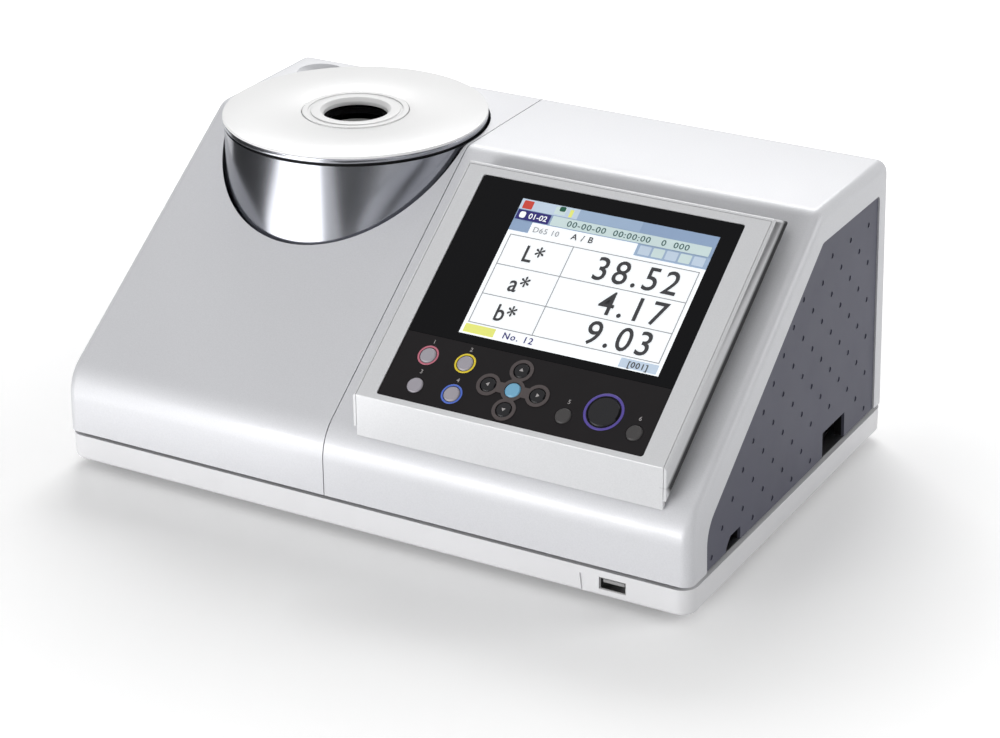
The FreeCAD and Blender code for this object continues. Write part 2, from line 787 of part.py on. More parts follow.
def tower():
    """The chrome tower with its beam port, the deck ring on top and the black port tube."""
    inside = "(tower_radius - tower_wall)"
    body = new_body("tower_shell")
    rings = [("0", "0", "tower_radius"), ("0", "0", inside)]
    wall = sketch_on(body, "Ring", "XY_Plane", circles=rings, lift=DECK_TOP)
    pad(body, wall, f"{TOWER_TOP} - {DECK_TOP}")
    port = sketch_on(body, "BeamPort", "YZ_Plane", circles=[("0", BEAM_Z, "beam_radius")])
    pocket(body, port, "tower_radius + overrun", True)
    place(body, "tower_x", "tower_y", "0")
    ring_edge = f"({inside} - deck_ring_clearance)"
    lathe("tower_deck", [
        ("deck_hole_radius", f"{TOWER_TOP} - deck_ring_thickness"),
        (ring_edge, f"{TOWER_TOP} - deck_ring_thickness"),
        (ring_edge, TOWER_TOP),
        ("groove_ring_radius", TOWER_TOP),
        ("groove_ring_radius", RIM_FOOT),
        ("deck_hole_radius", RIM_FOOT),
    ], "tower_x", "tower_y")
    bore = "(aperture_radius + mask_lip)"
    lathe("port_tube", [
        (bore, SPHERE_TOP),
        ("deck_hole_radius - sphere_gap", SPHERE_TOP),
        ("deck_hole_radius - sphere_gap", f"{SPHERE_TOP} + port_tube_wall"),
        (f"{bore} + port_tube_wall", f"{SPHERE_TOP} + port_tube_wall"),
        (f"{bore} + port_tube_wall", f"{RIM_FOOT} - mask_flange_thickness"),
        (bore, f"{RIM_FOOT} - mask_flange_thickness"),
    ], "tower_x", "tower_y")


def measuring_plate():
    """The white disc, the chrome rim under its edge and the target mask in its middle."""
    seat = "(mask_radius + mask_gap)"
    step = "(mask_radius - mask_step + mask_gap)"
    lathe("measuring_plate", [
        (step, RIM_FOOT),
        ("plate_boss_radius", RIM_FOOT),
        ("plate_boss_radius", PLATE_FOOT),
        ("plate_radius", PLATE_FOOT),
        ("plate_radius", f"{PLATE_TOP} - plate_edge"),
        ("plate_radius - plate_edge", PLATE_TOP),
        (seat, PLATE_TOP),
        (seat, f"{PLATE_TOP} - mask_flange_thickness"),
        (step, f"{PLATE_TOP} - mask_flange_thickness"),
    ], "tower_x", "tower_y")
    lathe("plate_rim", [
        ("plate_radius - rim_width", RIM_FOOT),
        ("plate_radius - plate_edge", RIM_FOOT),
        ("plate_radius", f"{RIM_FOOT} + plate_edge"),
        ("plate_radius", PLATE_FOOT),
        ("plate_radius - rim_width", PLATE_FOOT),
    ], "tower_x", "tower_y")
    top = f"({PLATE_TOP} + mask_proud)"
    inner_step = "(mask_radius - mask_step)"
    lathe("target_mask", [
        ("aperture_radius", f"{RIM_FOOT} + mask_gap"),
        (inner_step, f"{RIM_FOOT} + mask_gap"),
        (inner_step, f"{PLATE_TOP} - mask_flange_thickness"),
        ("mask_radius", f"{PLATE_TOP} - mask_flange_thickness"),
        ("mask_radius", f"{top} - mask_proud"),
        ("mask_radius - mask_proud", top),
        (f"{inner_step} + mask_groove_width / 2", top),
        (f"{inner_step} + mask_groove_width / 2", f"{top} - mask_groove_depth"),
        (f"{inner_step} - mask_groove_width / 2", f"{top} - mask_groove_depth"),
        (f"{inner_step} - mask_groove_width / 2", top),
        ("aperture_radius + mask_lip", top),
        ("aperture_radius", f"{top} - mask_lip"),
    ], "tower_x", "tower_y")


def sphere_height(radius, depth="0"):
    """Height of the sphere's wall at a radius from its upright axis, at a depth in the wall."""
    return f"({SPHERE_Z} + sqrt((sphere_radius - ({depth})) ^ 2 - ({radius}) ^ 2))"


def sphere():
    """The two halves of the integrating sphere, its port frame and the ring that it stands in."""
    for name, low, high, flange in (
        ("sphere_lower", -90, 0, f"{SPHERE_Z} - flange_thickness"),
        ("sphere_upper", 0, 90, SPHERE_Z),
    ):
        balls = []
        for part, radius in (("Outer", "sphere_radius"), ("Inner", "sphere_radius - sphere_wall")):
            ball = doc.addObject("Part::Sphere", f"{part}_{name}")
            bind(ball, Radius=radius)
            place(ball, "tower_x", "tower_y", SPHERE_Z)
            balls.append(ball)
        balls[0].Angle1 = low
        balls[0].Angle2 = high
        ring = rod(name + "_flange", "tower_x", "tower_y", flange, "flange_radius",
                   "flange_thickness")
        tools = [balls[1]]
        if high:
            tools.append(rod(name + "_port", "tower_x", "tower_y", SPHERE_Z,
                             "port_frame_radius + port_frame_gap", "sphere_radius + overrun"))
        else:
            tools.append(rod(name + "_port", "tower_x", "tower_y", BEAM_Z, "beam_radius",
                             "sphere_radius + overrun", FreeCAD.Vector(1, 0, 0)))
        keep(cut(name, fused(name, [balls[0], ring]), tools), name)
    lathe("port_frame", [
        ("aperture_radius", sphere_height("aperture_radius", "sphere_wall")),
        ("port_frame_radius", sphere_height("port_frame_radius", "sphere_wall")),
        ("port_frame_radius", sphere_height("port_frame_radius")),
        ("aperture_radius", sphere_height("aperture_radius")),
    ], "tower_x", "tower_y")
    inside = "(cradle_radius - cradle_wall)"
    rest = f"({SPHERE_Z} - sqrt(sphere_radius ^ 2 - {inside} ^ 2) - sphere_gap)"
    body = new_body("sphere_cradle")
    rings = [("0", "0", "cradle_radius"), ("0", "0", inside)]
    pad(body, sketch_on(body, "Ring", "XY_Plane", circles=rings, lift=DECK_TOP),
        f"{rest} - {DECK_TOP}")
    place(body, "tower_x", "tower_y", "0")


def lamp():
    """The lamp box with its flash tube, and the capacitor beside it."""
    box = block("lamp", "lamp_x - lamp_length / 2", "lamp_y - lamp_depth / 2", DECK_TOP,
                "lamp_length", "lamp_depth", "lamp_height")
    axis = f"({DECK_TOP} + lamp_height / 2)"
    bore = rod("lamp_bore", "lamp_x - lamp_length / 2 + lamp_wall", "lamp_y", axis, "lamp_bore",
               "lamp_length", FreeCAD.Vector(1, 0, 0))
    keep(cut("lamp_housing", box, [bore]), "lamp_housing")
    keep(rod("lamp_tube", "lamp_x - lamp_length / 2 + lamp_wall", "lamp_y", axis,
             "lamp_tube_radius", "lamp_length - 2 * lamp_wall", FreeCAD.Vector(1, 0, 0)),
         "flash_lamp")
    body = lathe("flash_capacitor", [
        ("0", "0"),
        ("capacitor_radius - capacitor_edge", "0"),
        ("capacitor_radius", "capacitor_edge"),
        ("capacitor_radius", "capacitor_length - capacitor_edge"),
        ("capacitor_radius - capacitor_edge", "capacitor_length"),
        ("0", "capacitor_length"),
    ])
    turn = FreeCAD.Rotation(FreeCAD.Vector(0, 0, 1), FreeCAD.Vector(0, 1, 0))
    body.Placement = FreeCAD.Placement(FreeCAD.Vector(), turn)
    place(body, "capacitor_x", "capacitor_y - capacitor_length / 2",
          f"{DECK_TOP} + capacitor_radius")


def left_cover():
    """The fixed cover, cut round for the tower, with the finger scoop behind it."""
    body = new_body("left_cover")
    cover_shell(body, -1, "-seam_x - seam_line / 2")
    pocket_bottom = f"({SHELL_TOP} - scoop_depth - scoop_wall)"
    boss = [("scoop_x", "scoop_y", "scoop_radius + scoop_wall")]
    pad(body, sketch_on(body, "ScoopBoss", "XY_Plane", circles=boss, lift=pocket_bottom),
        "scoop_depth + scoop_wall - wall / 2")
    dish = body.newObject("PartDesign::SubtractiveSphere", "Scoop")
    attach(dish, body, "XY_Plane", f"{SHELL_TOP} - scoop_depth + ({dish_radius()})")
    bind(dish, Radius=dish_radius())
    bind(dish, **{"AttachmentOffset.Base.x": "scoop_x", "AttachmentOffset.Base.y": "scoop_y"})
    doc.recompute()
    hole = [("tower_x", "tower_y", "tower_radius + tower_cut_gap")]
    pocket(body, sketch_on(body, "TowerCut", "XY_Plane", circles=hole))


def dish_radius():
    """Radius of the ball that leaves the scoop's mouth and depth."""
    return "(scoop_radius ^ 2 + scoop_depth ^ 2) / (2 * scoop_depth)"


def bulkhead(name, left, port_radius):
    """A wall of the chamber across the whole side profile, notched over the runners."""
    inset = "(wall + bulkhead_gap)"
    front, back, rear_top, brow, bend = profile(inset)
    notch = f"({DECK_TOP} + bulkhead_notch)"
    points = [
        ("-bulkhead_seat", DECK_TOP),
        ("bulkhead_seat", DECK_TOP),
        ("bulkhead_seat", notch),
        (back[0], notch),
        rear_top,
        brow,
        bend,
        (front[0], notch),
        ("-bulkhead_seat", notch),
    ]
    body = new_body(name)
    port = [("tower_y", BEAM_Z, port_radius)]
    pad(body, sketch_on(body, "Wall", "YZ_Plane", points, port, lift=left), "bulkhead_thickness")
    round_profile(body, inset)


def chamber():
    """Both walls and the floor of the transmittance chamber."""
    bulkhead("sphere_bulkhead", f"{CHAMBER_LEFT} - bulkhead_thickness", "beam_radius")
    bulkhead("receiver_bulkhead", CHAMBER_RIGHT, "snout_radius + sphere_gap")
    body = new_body("chamber_floor")
    left = f"({CHAMBER_LEFT} + sphere_gap)"
    right = f"({CHAMBER_RIGHT} - sphere_gap)"
    sheet_outline = rectangle(left, "-bulkhead_seat", right, "bulkhead_seat")
    pad(body, sketch_on(body, "Sheet", "XY_Plane", sheet_outline, lift=DECK_TOP),
        "floor_thickness")
    dish = rectangle(f"{left} + floor_border", "-bulkhead_seat + floor_border",
                     f"{right} - floor_border", "bulkhead_seat - floor_border")
    pocket(body, sketch_on(body, "Dish", "XY_Plane", dish,
                           lift=f"{DECK_TOP} + floor_thickness"), "floor_lip")


def receiver():
    """The receiver: stand, open box with snout, lens, grating, sensor board and lid."""
    left = f"({CHAMBER_RIGHT} + bulkhead_thickness + receiver_offset)"
    front = "(tower_y - receiver_depth / 2)"
    low = f"({BEAM_Z} - receiver_height / 2)"
    along = FreeCAD.Vector(1, 0, 0)
    box = block("receiver", left, front, low, "receiver_length", "receiver_depth",
                "receiver_height")
    snout = rod("snout", f"{left} - snout_length", "tower_y", BEAM_Z, "snout_radius",
                "snout_length + receiver_wall", along)
    room = block("receiver_room", f"{left} + receiver_wall", f"{front} + receiver_wall",
                 f"{low} + receiver_wall", "receiver_length - 2 * receiver_wall",
                 "receiver_depth - 2 * receiver_wall", "receiver_height")
    bore = rod("snout_bore", f"{left} - snout_length - overrun", "tower_y", BEAM_Z, "snout_bore",
               "snout_length + 2 * receiver_wall + overrun", along)
    keep(cut("receiver_housing", fused("receiver_box", [box, snout]), [room, bore]),
         "receiver_housing")
    keep(block("receiver_lid", left, front, f"{low} + receiver_height", "receiver_length",
               "receiver_depth", "lid_thickness"), "receiver_lid")
    keep(rod("lens", f"{left} - snout_length + receiver_wall", "tower_y", BEAM_Z, "lens_radius",
             "lens_thickness", along), "receiver_lens")
    far = f"({left} + receiver_length - receiver_wall - grating_thickness)"
    keep(block("grating", far, "tower_y - grating_width / 2", f"{low} + receiver_wall",
               "grating_thickness", "grating_width",
               "receiver_height / 2 - receiver_wall + grating_width / 2"), "diffraction_grating")
    board_y = f"({front} + receiver_wall)"
    board = block("sensor", f"{left} + receiver_wall + sensor_inset", board_y,
                  f"{low} + receiver_wall", "sensor_size", "board_thickness", "sensor_size")
    chip = block("chip",
                 f"{left} + receiver_wall + sensor_inset + (sensor_size - sensor_chip) / 2",
                 f"{board_y} + board_thickness", f"{BEAM_Z} - sensor_chip_height", "sensor_chip",
                 "sensor_chip_height", "2 * sensor_chip_height")
    keep(fused("sensor_board", [board, chip]), "sensor_board")
    body = new_body("receiver_stand")
    inner_front = f"({front} + stand_inset)"
    inner_back = f"({front} + receiver_depth - stand_inset)"
    channel = [
        (inner_front, DECK_TOP),
        (f"{inner_front} + stand_sheet", DECK_TOP),
        (f"{inner_front} + stand_sheet", f"{low} - stand_sheet"),
        (f"{inner_back} - stand_sheet", f"{low} - stand_sheet"),
        (f"{inner_back} - stand_sheet", DECK_TOP),
        (inner_back, DECK_TOP),
        (inner_back, low),
        (inner_front, low),
    ]
    start = f"({left} + stand_inset)"
    pad(body, sketch_on(body, "Channel", "YZ_Plane", channel, lift=start),
        f"{SOCKET_X} - side_board_width - stand_board_gap - {start}")


def rails():
    """Two T-shaped rails on the deck, the stops beside them and the runners of the cover."""
    rail_solids = []
    runner_solids = []
    stop_solids = []
    neck = f"({DECK_TOP} + rail_neck)"
    crown = f"({neck} + rail_head_height)"
    sole = f"({DECK_TOP} + runner_lift)"
    for name, side in (("Front", "-1"), ("Back", "1")):
        rail = doc.addObject("PartDesign::Body", "Rail" + name)
        shape = [
            ("-rail_web / 2", DECK_TOP), ("rail_web / 2", DECK_TOP),
            ("rail_web / 2", neck), ("rail_head / 2", neck),
            ("rail_head / 2", crown), ("-rail_head / 2", crown),
            ("-rail_head / 2", neck), ("-rail_web / 2", neck),
        ]
        pad(rail, sketch_on(rail, "Section", "YZ_Plane", shape, lift="rail_left"),
            "rail_right - rail_left")
        place(rail, "0", f"{side} * rail_y", "0")
        rail_solids.append(rail)
        runner = doc.addObject("PartDesign::Body", "Runner" + name)
        inner = "(runner_inner - rail_y)"
        outer = "(depth / 2 - wall - rail_y)"
        web = "(rail_web / 2 + runner_gap)"
        head = "(rail_head / 2 + runner_gap)"
        shape = [
            (f"{side} * {inner}", sole), (f"-{web}" if side == "1" else web, sole),
            (f"-{web}" if side == "1" else web, f"{neck} - runner_gap"),
            (f"-{head}" if side == "1" else head, f"{neck} - runner_gap"),
            (f"-{head}" if side == "1" else head, f"{crown} + runner_gap"),
            (head if side == "1" else f"-{head}", f"{crown} + runner_gap"),
            (head if side == "1" else f"-{head}", f"{neck} - runner_gap"),
            (web if side == "1" else f"-{web}", f"{neck} - runner_gap"),
            (web if side == "1" else f"-{web}", sole),
            (f"{side} * {outer}", sole),
            (f"{side} * {outer}", f"{sole} + runner_height"),
            (f"{side} * {inner}", f"{sole} + runner_height"),
        ]
        pad(runner, sketch_on(runner, "Section", "YZ_Plane", shape, lift="runner_left"),
            "runner_length")
        place(runner, "0", f"{side} * rail_y", "0")
        runner_solids.append(runner)
        middle = f"({side} * (depth / 2 - wall - bulkhead_gap - stop_width / 2))"
        stop_solids.append(block("stop" + name,
                                 "runner_left + runner_length + slide_travel + stop_gap",
                                 f"{middle} - stop_width / 2", DECK_TOP, "stop_length",
                                 "stop_width", "stop_height"))
    group("slide_rails", rail_solids + stop_solids)
    group("slide_runners", runner_solids)


def side_sockets():
    """The side board with the power rocker, the power inlet and the data socket."""
    right = SOCKET_X
    front = "(front_notch_front - side_board_end)"
    back = "(rear_notch_back + side_board_end)"
    board = block("side_board", f"{right} - side_board_width", front,
                  f"{DECK_TOP} + side_board_lift", "side_board_width", f"{back} - {front}",
                  "board_thickness")
    spacers = [
        rod(f"side_spacer{index}", f"{right} - side_board_width / 2", y, DECK_TOP,
            "spacer_radius", "side_board_lift")
        for index, y in enumerate((f"{front} + spacer_inset", f"{back} - spacer_inset", "0"))
    ]
    keep(fused("side_board", [board] + spacers), "side_board")

    rocker_y = "(rear_notch_back - rocker_width / 2 - 2 * rocker_frame_wall)"
    rocker_z = f"({SOCKET_FOOT} + rocker_frame_wall + rocker_radius + rocker_gap)"
    rocker_x = f"({right} - rocker_radius + rocker_dip)"
    frame = new_body("rocker_frame")
    half_y = "(rocker_width / 2 + rocker_gap + rocker_frame_wall)"
    half_z = "(rocker_radius + rocker_gap + rocker_frame_wall)"
    outer = rectangle(f"-{half_y}", f"-{half_z}", half_y, half_z)
    pad(frame, sketch_on(frame, "Block", "YZ_Plane", outer,
                         lift="rocker_radius - rocker_dip"), "rocker_frame_depth", True)
    mouth = rectangle(f"-{half_y} + rocker_frame_wall", f"-{half_z} + rocker_frame_wall",
                      f"{half_y} - rocker_frame_wall", f"{half_z} - rocker_frame_wall")
    pocket(frame, sketch_on(frame, "Mouth", "YZ_Plane", mouth,
                            lift="rocker_radius - rocker_dip"),
           "rocker_frame_depth - rocker_frame_wall / 2")
    pin_hole = [("0", "0", "rocker_pin_radius + rocker_pin_clearance")]
    pocket(frame, sketch_on(frame, "PinHoles", "XZ_Plane", circles=pin_hole))
    place(frame, rocker_x, rocker_y, rocker_z)

    paddle = new_body("power_rocker")
    wheel = sketch_on(paddle, "Wheel", "XZ_Plane", circles=[("0", "0", "rocker_radius")],
                      lift="-rocker_width / 2")
    pad(paddle, wheel, "rocker_width")
    pin = sketch_on(paddle, "Pin", "XZ_Plane", circles=[("0", "0", "rocker_pin_radius")],
                    lift="-rocker_width / 2 - rocker_pin_length")
    pad(paddle, pin, "rocker_width + 2 * rocker_pin_length")
    face = "(rocker_radius - rocker_dip)"
    valley = [
        (f"{face} - rocker_dip", "0"),
        (f"{face} - rocker_dip + rocker_radius * tan(rocker_splay)", "rocker_radius"),
        ("rocker_radius + overrun", "rocker_radius"),
        ("rocker_radius + overrun", "-rocker_radius"),
        (f"{face} - rocker_dip", "-rocker_radius"),
    ]
    pocket(paddle, sketch_on(paddle, "Face", "XZ_Plane", valley))
    place(paddle, rocker_x, rocker_y, rocker_z)

    jack_y = "(rear_notch_front + jack_width / 2 + rocker_frame_wall)"
    along = FreeCAD.Vector(1, 0, 0)
    body = block("jack_body", f"{right} - jack_length", f"{jack_y} - jack_width / 2", SOCKET_FOOT,
                 "jack_length", "jack_width", "jack_height")
    bore = rod("jack_bore", f"{right} - jack_length + jack_floor", jack_y,
               f"{SOCKET_FOOT} + jack_height / 2", "jack_bore", "jack_length", along)
    pin = rod("jack_pin", f"{right} - jack_length + jack_pin", jack_y,
              f"{SOCKET_FOOT} + jack_height / 2", "jack_pin",
              "jack_length - 2 * jack_pin", along)
    hollow = cut("jack_hollow", body, [bore])
    keep(fused("power_inlet", [hollow, pin]), "power_inlet")

    data_y = "((front_notch_front + front_notch_back) / 2 + front_notch_slope / 2)"
    shell = block("data_body", f"{right} - data_length", f"{data_y} - data_width / 2",
                  SOCKET_FOOT, "data_length", "data_width", "data_height")
    mouth = block("data_mouth", f"{right} - data_length + data_sheet",
                  f"{data_y} - data_width / 2 + data_sheet", f"{SOCKET_FOOT} + data_sheet",
                  "data_length", "data_width - 2 * data_sheet", "data_height - 2 * data_sheet")
    tongue = block("data_tongue", f"{right} - data_length + data_sheet / 2",
                   f"{data_y} - data_tongue_width / 2",
                   f"{SOCKET_FOOT} + (data_height - data_tongue_height) / 2",
                   "data_length - 2 * data_sheet", "data_tongue_width", "data_tongue_height")
    keep(fused("data_socket", [cut("data_hollow", shell, [mouth]), tongue]), "data_socket")


def panel_outline(gap):
    """Outline of the grey side panel in Y and Z, less a gap."""
    low = COVER_FLOOR
    back = f"(depth / 2 - panel_back - {gap})"
    front = f"(-depth / 2 + panel_front + {gap})"
    top = f"({SHELL_TOP} - panel_brow - {gap})"
    brow = f"(panel_brow_y + {gap} / 2)"
    bend = f"({COVER_FLOOR} + panel_front_rise - {gap})"
    return [(front, low), (back, low), (back, top), (brow, top), (front, bend)]


def round_panel(body, gap):
    """Round the three upper corners of the side panel, or of its recess."""
    points = panel_outline(gap)
    corner_radii = ("panel_corner_radius", "panel_brow_radius", "panel_bend_radius")
    for (y, z), radius in zip(points[2:], corner_radii):
        edges = edges_where(
            body.Shape,
            lambda point: beside(point.y, y) and beside(point.z, z) and point.x > value(SOCKET_X),
        )
        rounding(body, edges, f"{radius} - {gap}")


def notch_outlines():
    """Outlines of the two notches at the foot of the side panel."""
    low = f"({COVER_FLOOR} - overrun)"
    rear = rectangle("rear_notch_front", low, "rear_notch_back",
                     f"{COVER_FLOOR} + rear_notch_height")
    front = [
        ("front_notch_front", low),
        ("front_notch_back", low),
        ("front_notch_back", f"{COVER_FLOOR} + front_notch_height"),
        ("front_notch_front + front_notch_slope", f"{COVER_FLOOR} + front_notch_height"),
        ("front_notch_front", f"{COVER_FLOOR} + front_notch_height - front_notch_slope"),
    ]
    return {"RearNotch": rear, "FrontNotch": front}


def slide_cover():
    """The sliding cover with the recess of its side panel and the two notches."""
    body = new_body("slide_cover")
    cover_shell(body, 1, "-seam_x + seam_line / 2")
    recess = sketch_on(body, "Recess", "YZ_Plane", panel_outline("0"),
                       lift=f"{CHEEK_FOOT} + overrun", tilt=f"-{LEAN_ANGLE}")
    pocket(body, recess, "panel_thickness + panel_reveal + overrun")
    round_panel(body, "0")
    for name, points in notch_outlines().items():
        pocket(body, sketch_on(body, name, "YZ_Plane", points, lift="width / 2"),
               "lean + cheek_wall + overrun")


def inside_panel(y, z):
    """Whether a dimple at a place keeps its margin to the panel's edges and notches."""
    margin = value("dimple_margin")
    points = [(value(a), value(b)) for a, b in panel_outline("0")]
    for (y0, z0), (y1, z1) in zip(points, points[1:] + points[:1]):
        length = ((y1 - y0) ** 2 + (z1 - z0) ** 2) ** 0.5
        if ((y1 - y0) * (z - z0) - (z1 - z0) * (y - y0)) / length < margin:
            return False
    for points in notch_outlines().values():
        places = [(value(a), value(b)) for a, b in points]
        if (min(a for a, _ in places) - margin < y < max(a for a, _ in places) + margin
                and z < max(b for _, b in places) + margin):
            return False
    return True


def side_panel():
    """The grey side panel: notched at its foot, with staggered rows of small dimples."""
    body = new_body("side_panel")
    face = f"({CHEEK_FOOT} - panel_reveal)"
    sheet_face = sketch_on(body, "Sheet", "YZ_Plane", panel_outline("panel_gap"), lift=face,
                           tilt=f"-{LEAN_ANGLE}")
    pad(body, sheet_face, "panel_thickness", True)
    round_panel(body, "panel_gap")
    for name, points in notch_outlines().items():
        pocket(body, sketch_on(body, name, "YZ_Plane", points))
    circles = []
    rows = int(value(f"({SHELL_TOP} - {COVER_FLOOR}) / dimple_row")) + 1
    columns = int(value("depth / dimple_pitch")) + 1
    for row in range(rows):
        for column in range(-columns, columns):
            y = f"({column} * dimple_pitch + {row % 2} * dimple_pitch / 2)"
            z = f"({COVER_FLOOR} + dimple_margin + {row} * dimple_row)"
            if inside_panel(value(y), value(z)):
                circles.append((y, z, "dimple_radius"))
    dimples = sketch_on(body, "Dimples", "YZ_Plane", circles=circles, lift=face,
                        tilt=f"-{LEAN_ANGLE}")
    pocket(body, dimples, "dimple_depth")


def face_line(height, behind="0"):
    """Place up the slope of the display unit's upright front face at a height over the slope."""
    return f"(crease - (unit_height - ({height})) * {STEEPNESS} + ({behind}) / {SLOPE_COS})"


def far_line(height):
    """Place up the slope of the display unit's slanted far face at a height over the slope."""
    return f"(unit_end + (unit_height - ({height})) * unit_far_run / unit_height)"


def display_housing():
    """The foot and the tub of the display unit."""
    foot = new_body("display_mount")
    left = "(unit_left + neck_inset)"
    right = "(unit_right - neck_inset)"
    plan = rectangle(left, "neck_start", right, "unit_end - neck_inset")
    pad(foot, sketch_on(foot, "Plan", "XY_Plane", plan, lift="neck_lift"),
        "neck_height - neck_lift")
    on_slope(foot)

    tub = new_body("display_housing")
    side = [
        (face_line("neck_height"), "neck_height"),
        (far_line("neck_height"), "neck_height"),
        ("unit_end", "unit_height"),
        ("crease", "unit_height"),
    ]
    pad(tub, sketch_on(tub, "Side", "YZ_Plane", side, lift="unit_left"), "unit_right - unit_left")
    rim = edges_where(tub.Shape, lambda point: at(point.z, "unit_height"))
    far = edges_where(tub.Shape, lambda point: point.y > value("unit_end") - SNAP)
    rounded = [
        name
        for name in sorted(set(rim + far))
        if not all(at(end.Y, "crease") for end in tub.Shape.getElement(name).Vertexes)
        and not all(at(end.Z, "neck_height") for end in tub.Shape.getElement(name).Vertexes)
    ]
    rounding(tub, rounded, "unit_round")
    front = [
        ("-overrun", "0"),
        (face_line("0", "bezel_plate + parting"), "0"),
        (face_line("unit_height + overrun", "bezel_plate + parting"), "unit_height + overrun"),
        ("-overrun", "unit_height + overrun"),
    ]
    pocket(tub, sketch_on(tub, "Front", "YZ_Plane", front, lift="unit_right - unit_lip"),
           "unit_right - unit_left - 2 * unit_lip")
    seat = rectangle("unit_left + unit_lip", "-overrun", "unit_right - unit_lip",
                     "unit_end - unit_lip")
    pocket(tub, sketch_on(tub, "Seat", "XY_Plane", seat, lift="unit_height"),
           "bezel_plate + parting")
    room = rectangle("unit_left + unit_lip + tub_wall", "crease + tub_wall",
                     "unit_right - unit_lip - tub_wall", "unit_end - unit_lip - tub_wall")
    pocket(tub, sketch_on(tub, "Room", "XY_Plane", room, lift="unit_height"),
           f"unit_height - {TUB_FLOOR}")
    on_slope(tub)


def display_bezel():
    """The bezel: a framed top plate and the upright front face in one piece."""
    body = new_body("display_bezel")
    under = "(unit_height - bezel_plate)"
    far = "(unit_end - unit_lip - parting)"
    side = [
        (face_line("bezel_foot"), "bezel_foot"),
        ("crease", "unit_height"),
        (far, "unit_height"),
        (far, under),
        (face_line(under, "bezel_plate"), under),
        (face_line("bezel_foot", "bezel_plate"), "bezel_foot"),
    ]
    pad(body, sketch_on(body, "Side", "YZ_Plane", side, lift="unit_left + unit_lip + parting"),
        "unit_right - unit_left - 2 * (unit_lip + parting)")
    window = rectangle("glass_left", "glass_front", "glass_right", "glass_end")
    pocket(body, sketch_on(body, "Window", "XY_Plane", window, lift="unit_height"),
           "unit_height")
    inside = upright_edges(
        body.Shape, lambda point: at(point.x, "glass_left") or at(point.x, "glass_right"))
    rounding(body, inside, "glass_corner")
    crease = edges_where(
        body.Shape,
        lambda point: at(point.y, "crease") and at(point.z, "unit_height"),
    )
    rounding(body, crease, "bezel_round")
    on_slope(body)


def display_inside():
    """The display window, the screen module, the keypad overlay and its board."""
    left = "(glass_left + glass_gap)"
    right = "(glass_right - glass_gap)"
    glass = new_body("display_window")
    plan = rectangle(left, "glass_split + glass_gap / 2", right, "glass_end - glass_gap")
    pad(glass, sketch_on(glass, "Plan", "XY_Plane", plan, lift=GLASS_FOOT), "glass_thickness")
    far = upright_edges(glass.Shape, lambda point: at(point.y, "glass_end - glass_gap"))
    rounding(glass, far, "glass_corner - glass_gap")
    on_slope(glass)
    module = new_body("display_module")
    plan = rectangle("module_left", "module_front", "module_right", "module_end")
    pad(module, sketch_on(module, "Plan", "XY_Plane", plan, lift=f"{TUB_FLOOR} + module_gap"),
        f"{GLASS_FOOT} - {TUB_FLOOR} - 2 * module_gap")
    on_slope(module)
    overlay = new_body("key_overlay")
    plan = rectangle(left, "glass_front + glass_gap", right, "glass_split - glass_gap / 2")
    holes = [(x, up, f"{radius} + key_gap") for x, up, radius in KEYS.values()]
    pad(overlay, sketch_on(overlay, "Plan", "XY_Plane", plan, holes, lift=GLASS_FOOT),
        "glass_thickness")
    near = upright_edges(overlay.Shape, lambda point: at(point.y, "glass_front + glass_gap"))
    rounding(overlay, near, "glass_corner - glass_gap")
    on_slope(overlay)
    board = new_body("key_board")
    plan = rectangle(f"{left} + tub_wall", "crease + tub_wall + glass_gap",
                     f"{right} - tub_wall", "glass_split - glass_gap")
    low = f"({TUB_FLOOR} + module_gap)"
    pad(board, sketch_on(board, "Plan", "XY_Plane", plan, lift=low), "board_thickness")
    switches = [(x, up, "switch_radius") for x, up, _ in KEYS.values()]
    pad(board, sketch_on(board, "Switches", "XY_Plane", circles=switches, lift=low),
        f"{SWITCH_TOP} - {low}")
    on_slope(board)


def cross_surround():
    """The raised cross around the five keys in the middle."""
    keys = ["key_up", "key_down", "key_left", "key_right", "key_centre"]
    places = [KEYS[key] for key in keys]
    middle_x, middle_up, _ = KEYS["key_centre"]
    lobes = [
        rod(f"lobe{index}", x, up, "0", "lobe_radius", "lobe_height")
        for index, (x, up, _) in enumerate(places)
    ]
    bars = [
        block("bar_across", f"{middle_x} - pad_reach", f"{middle_up} - lobe_bar / 2", "0",
              "2 * pad_reach", "lobe_bar", "lobe_height"),
        block("bar_up", f"{middle_x} - lobe_bar / 2", f"{middle_up} - pad_pitch", "0", "lobe_bar",
              "2 * pad_pitch", "lobe_height"),
    ]
    holes = [
        rod(f"lobe_hole{index}", x, up, "-overrun", f"{radius} + key_gap",
            "lobe_height + 2 * overrun")
        for index, (x, up, radius) in enumerate(places)
    ]
    cross = cut("cross", fused("cross_plate", lobes + bars), holes)
    on_slope(cross)
    place(cross, "0", f"-depth / 2 - {GLASS_TOP} * {SLOPE_SIN}",
          f"{BEND} + {GLASS_TOP} * {SLOPE_COS}")
    keep(cross, "cross_surround")


def keys():
    """Twelve round keys, each with a stem, a flange under the overlay and a soft top edge."""
    top = f"({GLASS_TOP} + key_proud)"
    for name, (x, up, radius) in KEYS.items():
        stem = f"({radius} * key_stem_share)"
        body = lathe(name, [
            ("0", KEY_FOOT),
            (stem, KEY_FOOT),
            (stem, KEY_FLANGE_FOOT),
            (f"{radius} + key_flange", KEY_FLANGE_FOOT),
            (f"{radius} + key_flange", KEY_FLANGE_TOP),
            (radius, KEY_FLANGE_TOP),
            (radius, f"{top} - key_dome"),
            (f"{radius} - key_dome", top),
            ("0", top),
        ])
        at_slope(body, x, up)


